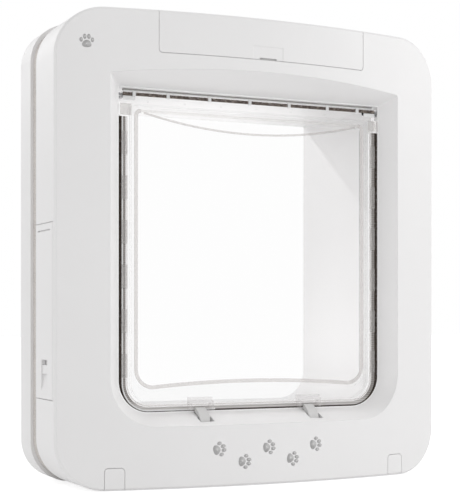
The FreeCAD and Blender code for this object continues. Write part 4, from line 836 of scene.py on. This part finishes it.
# floor, lamps and camera
studio = {
    "floorSize": 6.0,
    "floorHeight": -0.0005,
    "floorTone": 0.92,
    "shadowTone": 0.5,
    "floorGlow": 0.8,
    "world": 0.662,
    "target": (0, 0, 0.14),
    "key": {"place": (1.7, -1.1, 1.0), "size": 1.2, "power": 15.2},
    "side": {"place": (-1.72, -0.5, 0.22), "size": 1.0, "power": 4.6},
    "back": {"place": (-0.6, 1.5, 0.9), "size": 0.8, "power": 3},
    "beam": {"place": (0, 0.262, 0.396), "target": (0.09, 0.01, 0.12), "size": 0.01, "cone": 62,
             "power": 1.4},
    "low": {"place": (0, 0.02, 0.047), "target": (0, 0.02, 0.24), "size": 0.12, "power": 0.055},
    "roof": {"place": (-0.01, 0.045, 0.047), "target": (-0.01, 0.045, 0.24), "size": 0.02,
             "cone": 54, "power": 0.3},
}


# Light Path's eye rays: camera, glossy and transmission together
def eyeRays(tree):
    path = tree.nodes.new("ShaderNodeLightPath")
    first = mathOf(tree, "MAXIMUM", path.outputs["Is Camera Ray"], path.outputs["Is Glossy Ray"])
    return mathOf(tree, "MAXIMUM", first, path.outputs["Is Transmission Ray"])


floorMesh = bpy.data.meshes.new("floor")
half, height = studio["floorSize"], studio["floorHeight"]
floorMesh.from_pydata([(-half, -half, height), (half, -half, height), (half, half, height),
                       (-half, half, height)], [], [(0, 1, 2, 3)])
floor = bpy.data.objects.new("floor", floorMesh)
bpy.context.scene.collection.objects.link(floor)
floorFinish, floorTree, floorShader = newFinish("paleFloor", (studio["floorTone"],) * 3, 0.9)
floorMesh.materials.append(floorFinish)

# for the eye the floor glows most of the way to white, and its lit part keeps the shadow
floorGlow = floorTree.nodes.new("ShaderNodeEmission")
floorGlow.inputs["Strength"].default_value = studio["floorGlow"]
floorDim = floorTree.nodes.new("ShaderNodeBsdfDiffuse")
floorDim.inputs["Color"].default_value = (*(studio["shadowTone"],) * 3, 1)
floorSum = floorTree.nodes.new("ShaderNodeAddShader")
floorTree.links.new(floorGlow.outputs[0], floorSum.inputs[0])
floorTree.links.new(floorDim.outputs[0], floorSum.inputs[1])
floorSeen = mixShaders(floorTree, eyeRays(floorTree), floorShader, floorSum)

# seen through the clear flap it is plain white
floorPath = floorTree.nodes.new("ShaderNodeLightPath")
floorBeyond = mixShaders(floorTree, floorPath.outputs["Is Transmission Ray"], floorSeen,
                         floorTree.nodes.new("ShaderNodeEmission"))
floorTree.links.new(floorBeyond.outputs[0], floorTree.nodes["Material Output"].inputs["Surface"])


def aimLamp(name, settings):
    place = Vector(settings["place"])
    target = Vector(settings.get("target", studio["target"]))
    data = bpy.data.lights.new(name, "SPOT" if "cone" in settings else "AREA")
    data.energy = settings["power"]
    if "cone" in settings:
        data.shadow_soft_size = settings["size"] / 2
        data.spot_size = math.radians(settings["cone"])
        data.spot_blend = 1
    else:
        data.size = settings["size"]
    lamp = bpy.data.objects.new(name, data)
    lamp.visible_camera = False
    lamp.visible_transmission = False
    lamp.location = place
    lamp.rotation_euler = (target - place).to_track_quat("-Z", "Y").to_euler()
    bpy.context.scene.collection.objects.link(lamp)


for lampName in ("key", "side", "back", "beam", "low", "roof"):
    aimLamp(lampName + "Lamp", studio[lampName])

# the world lights with a soft grey, and the eye sees it white
world = bpy.data.worlds.new("studioWorld")
bpy.context.scene.world = world
world.use_nodes = True
worldTree = world.node_tree
skyLight = worldTree.nodes["Background"]
skyLight.inputs["Strength"].default_value = studio["world"]
backdrop = worldTree.nodes.new("ShaderNodeBackground")
for shade in (skyLight, backdrop):
    shade.inputs["Color"].default_value = (1, 1, 1, 1)
worldMix = mixShaders(worldTree, eyeRays(worldTree), skyLight, backdrop)
worldTree.links.new(worldMix.outputs[0], worldTree.nodes["World Output"].inputs["Surface"])

# camera solved from the photo's perspective
view = {"lens": 94.36, "place": (-0.3616, -0.7889, 0.102), "turn": -24.8, "shiftUp": 0.131}
cameraData = bpy.data.cameras.new("camera")
cameraData.lens = view["lens"]
cameraData.sensor_width = 36
cameraData.shift_y = view["shiftUp"]
camera = bpy.data.objects.new("camera", cameraData)
camera.location = view["place"]
camera.rotation_euler = (math.radians(90), 0, math.radians(view["turn"]))
bpy.context.scene.collection.objects.link(camera)
bpy.context.scene.camera = camera
bpy.context.scene.view_settings.view_transform = "Standard"
print("studio ready")
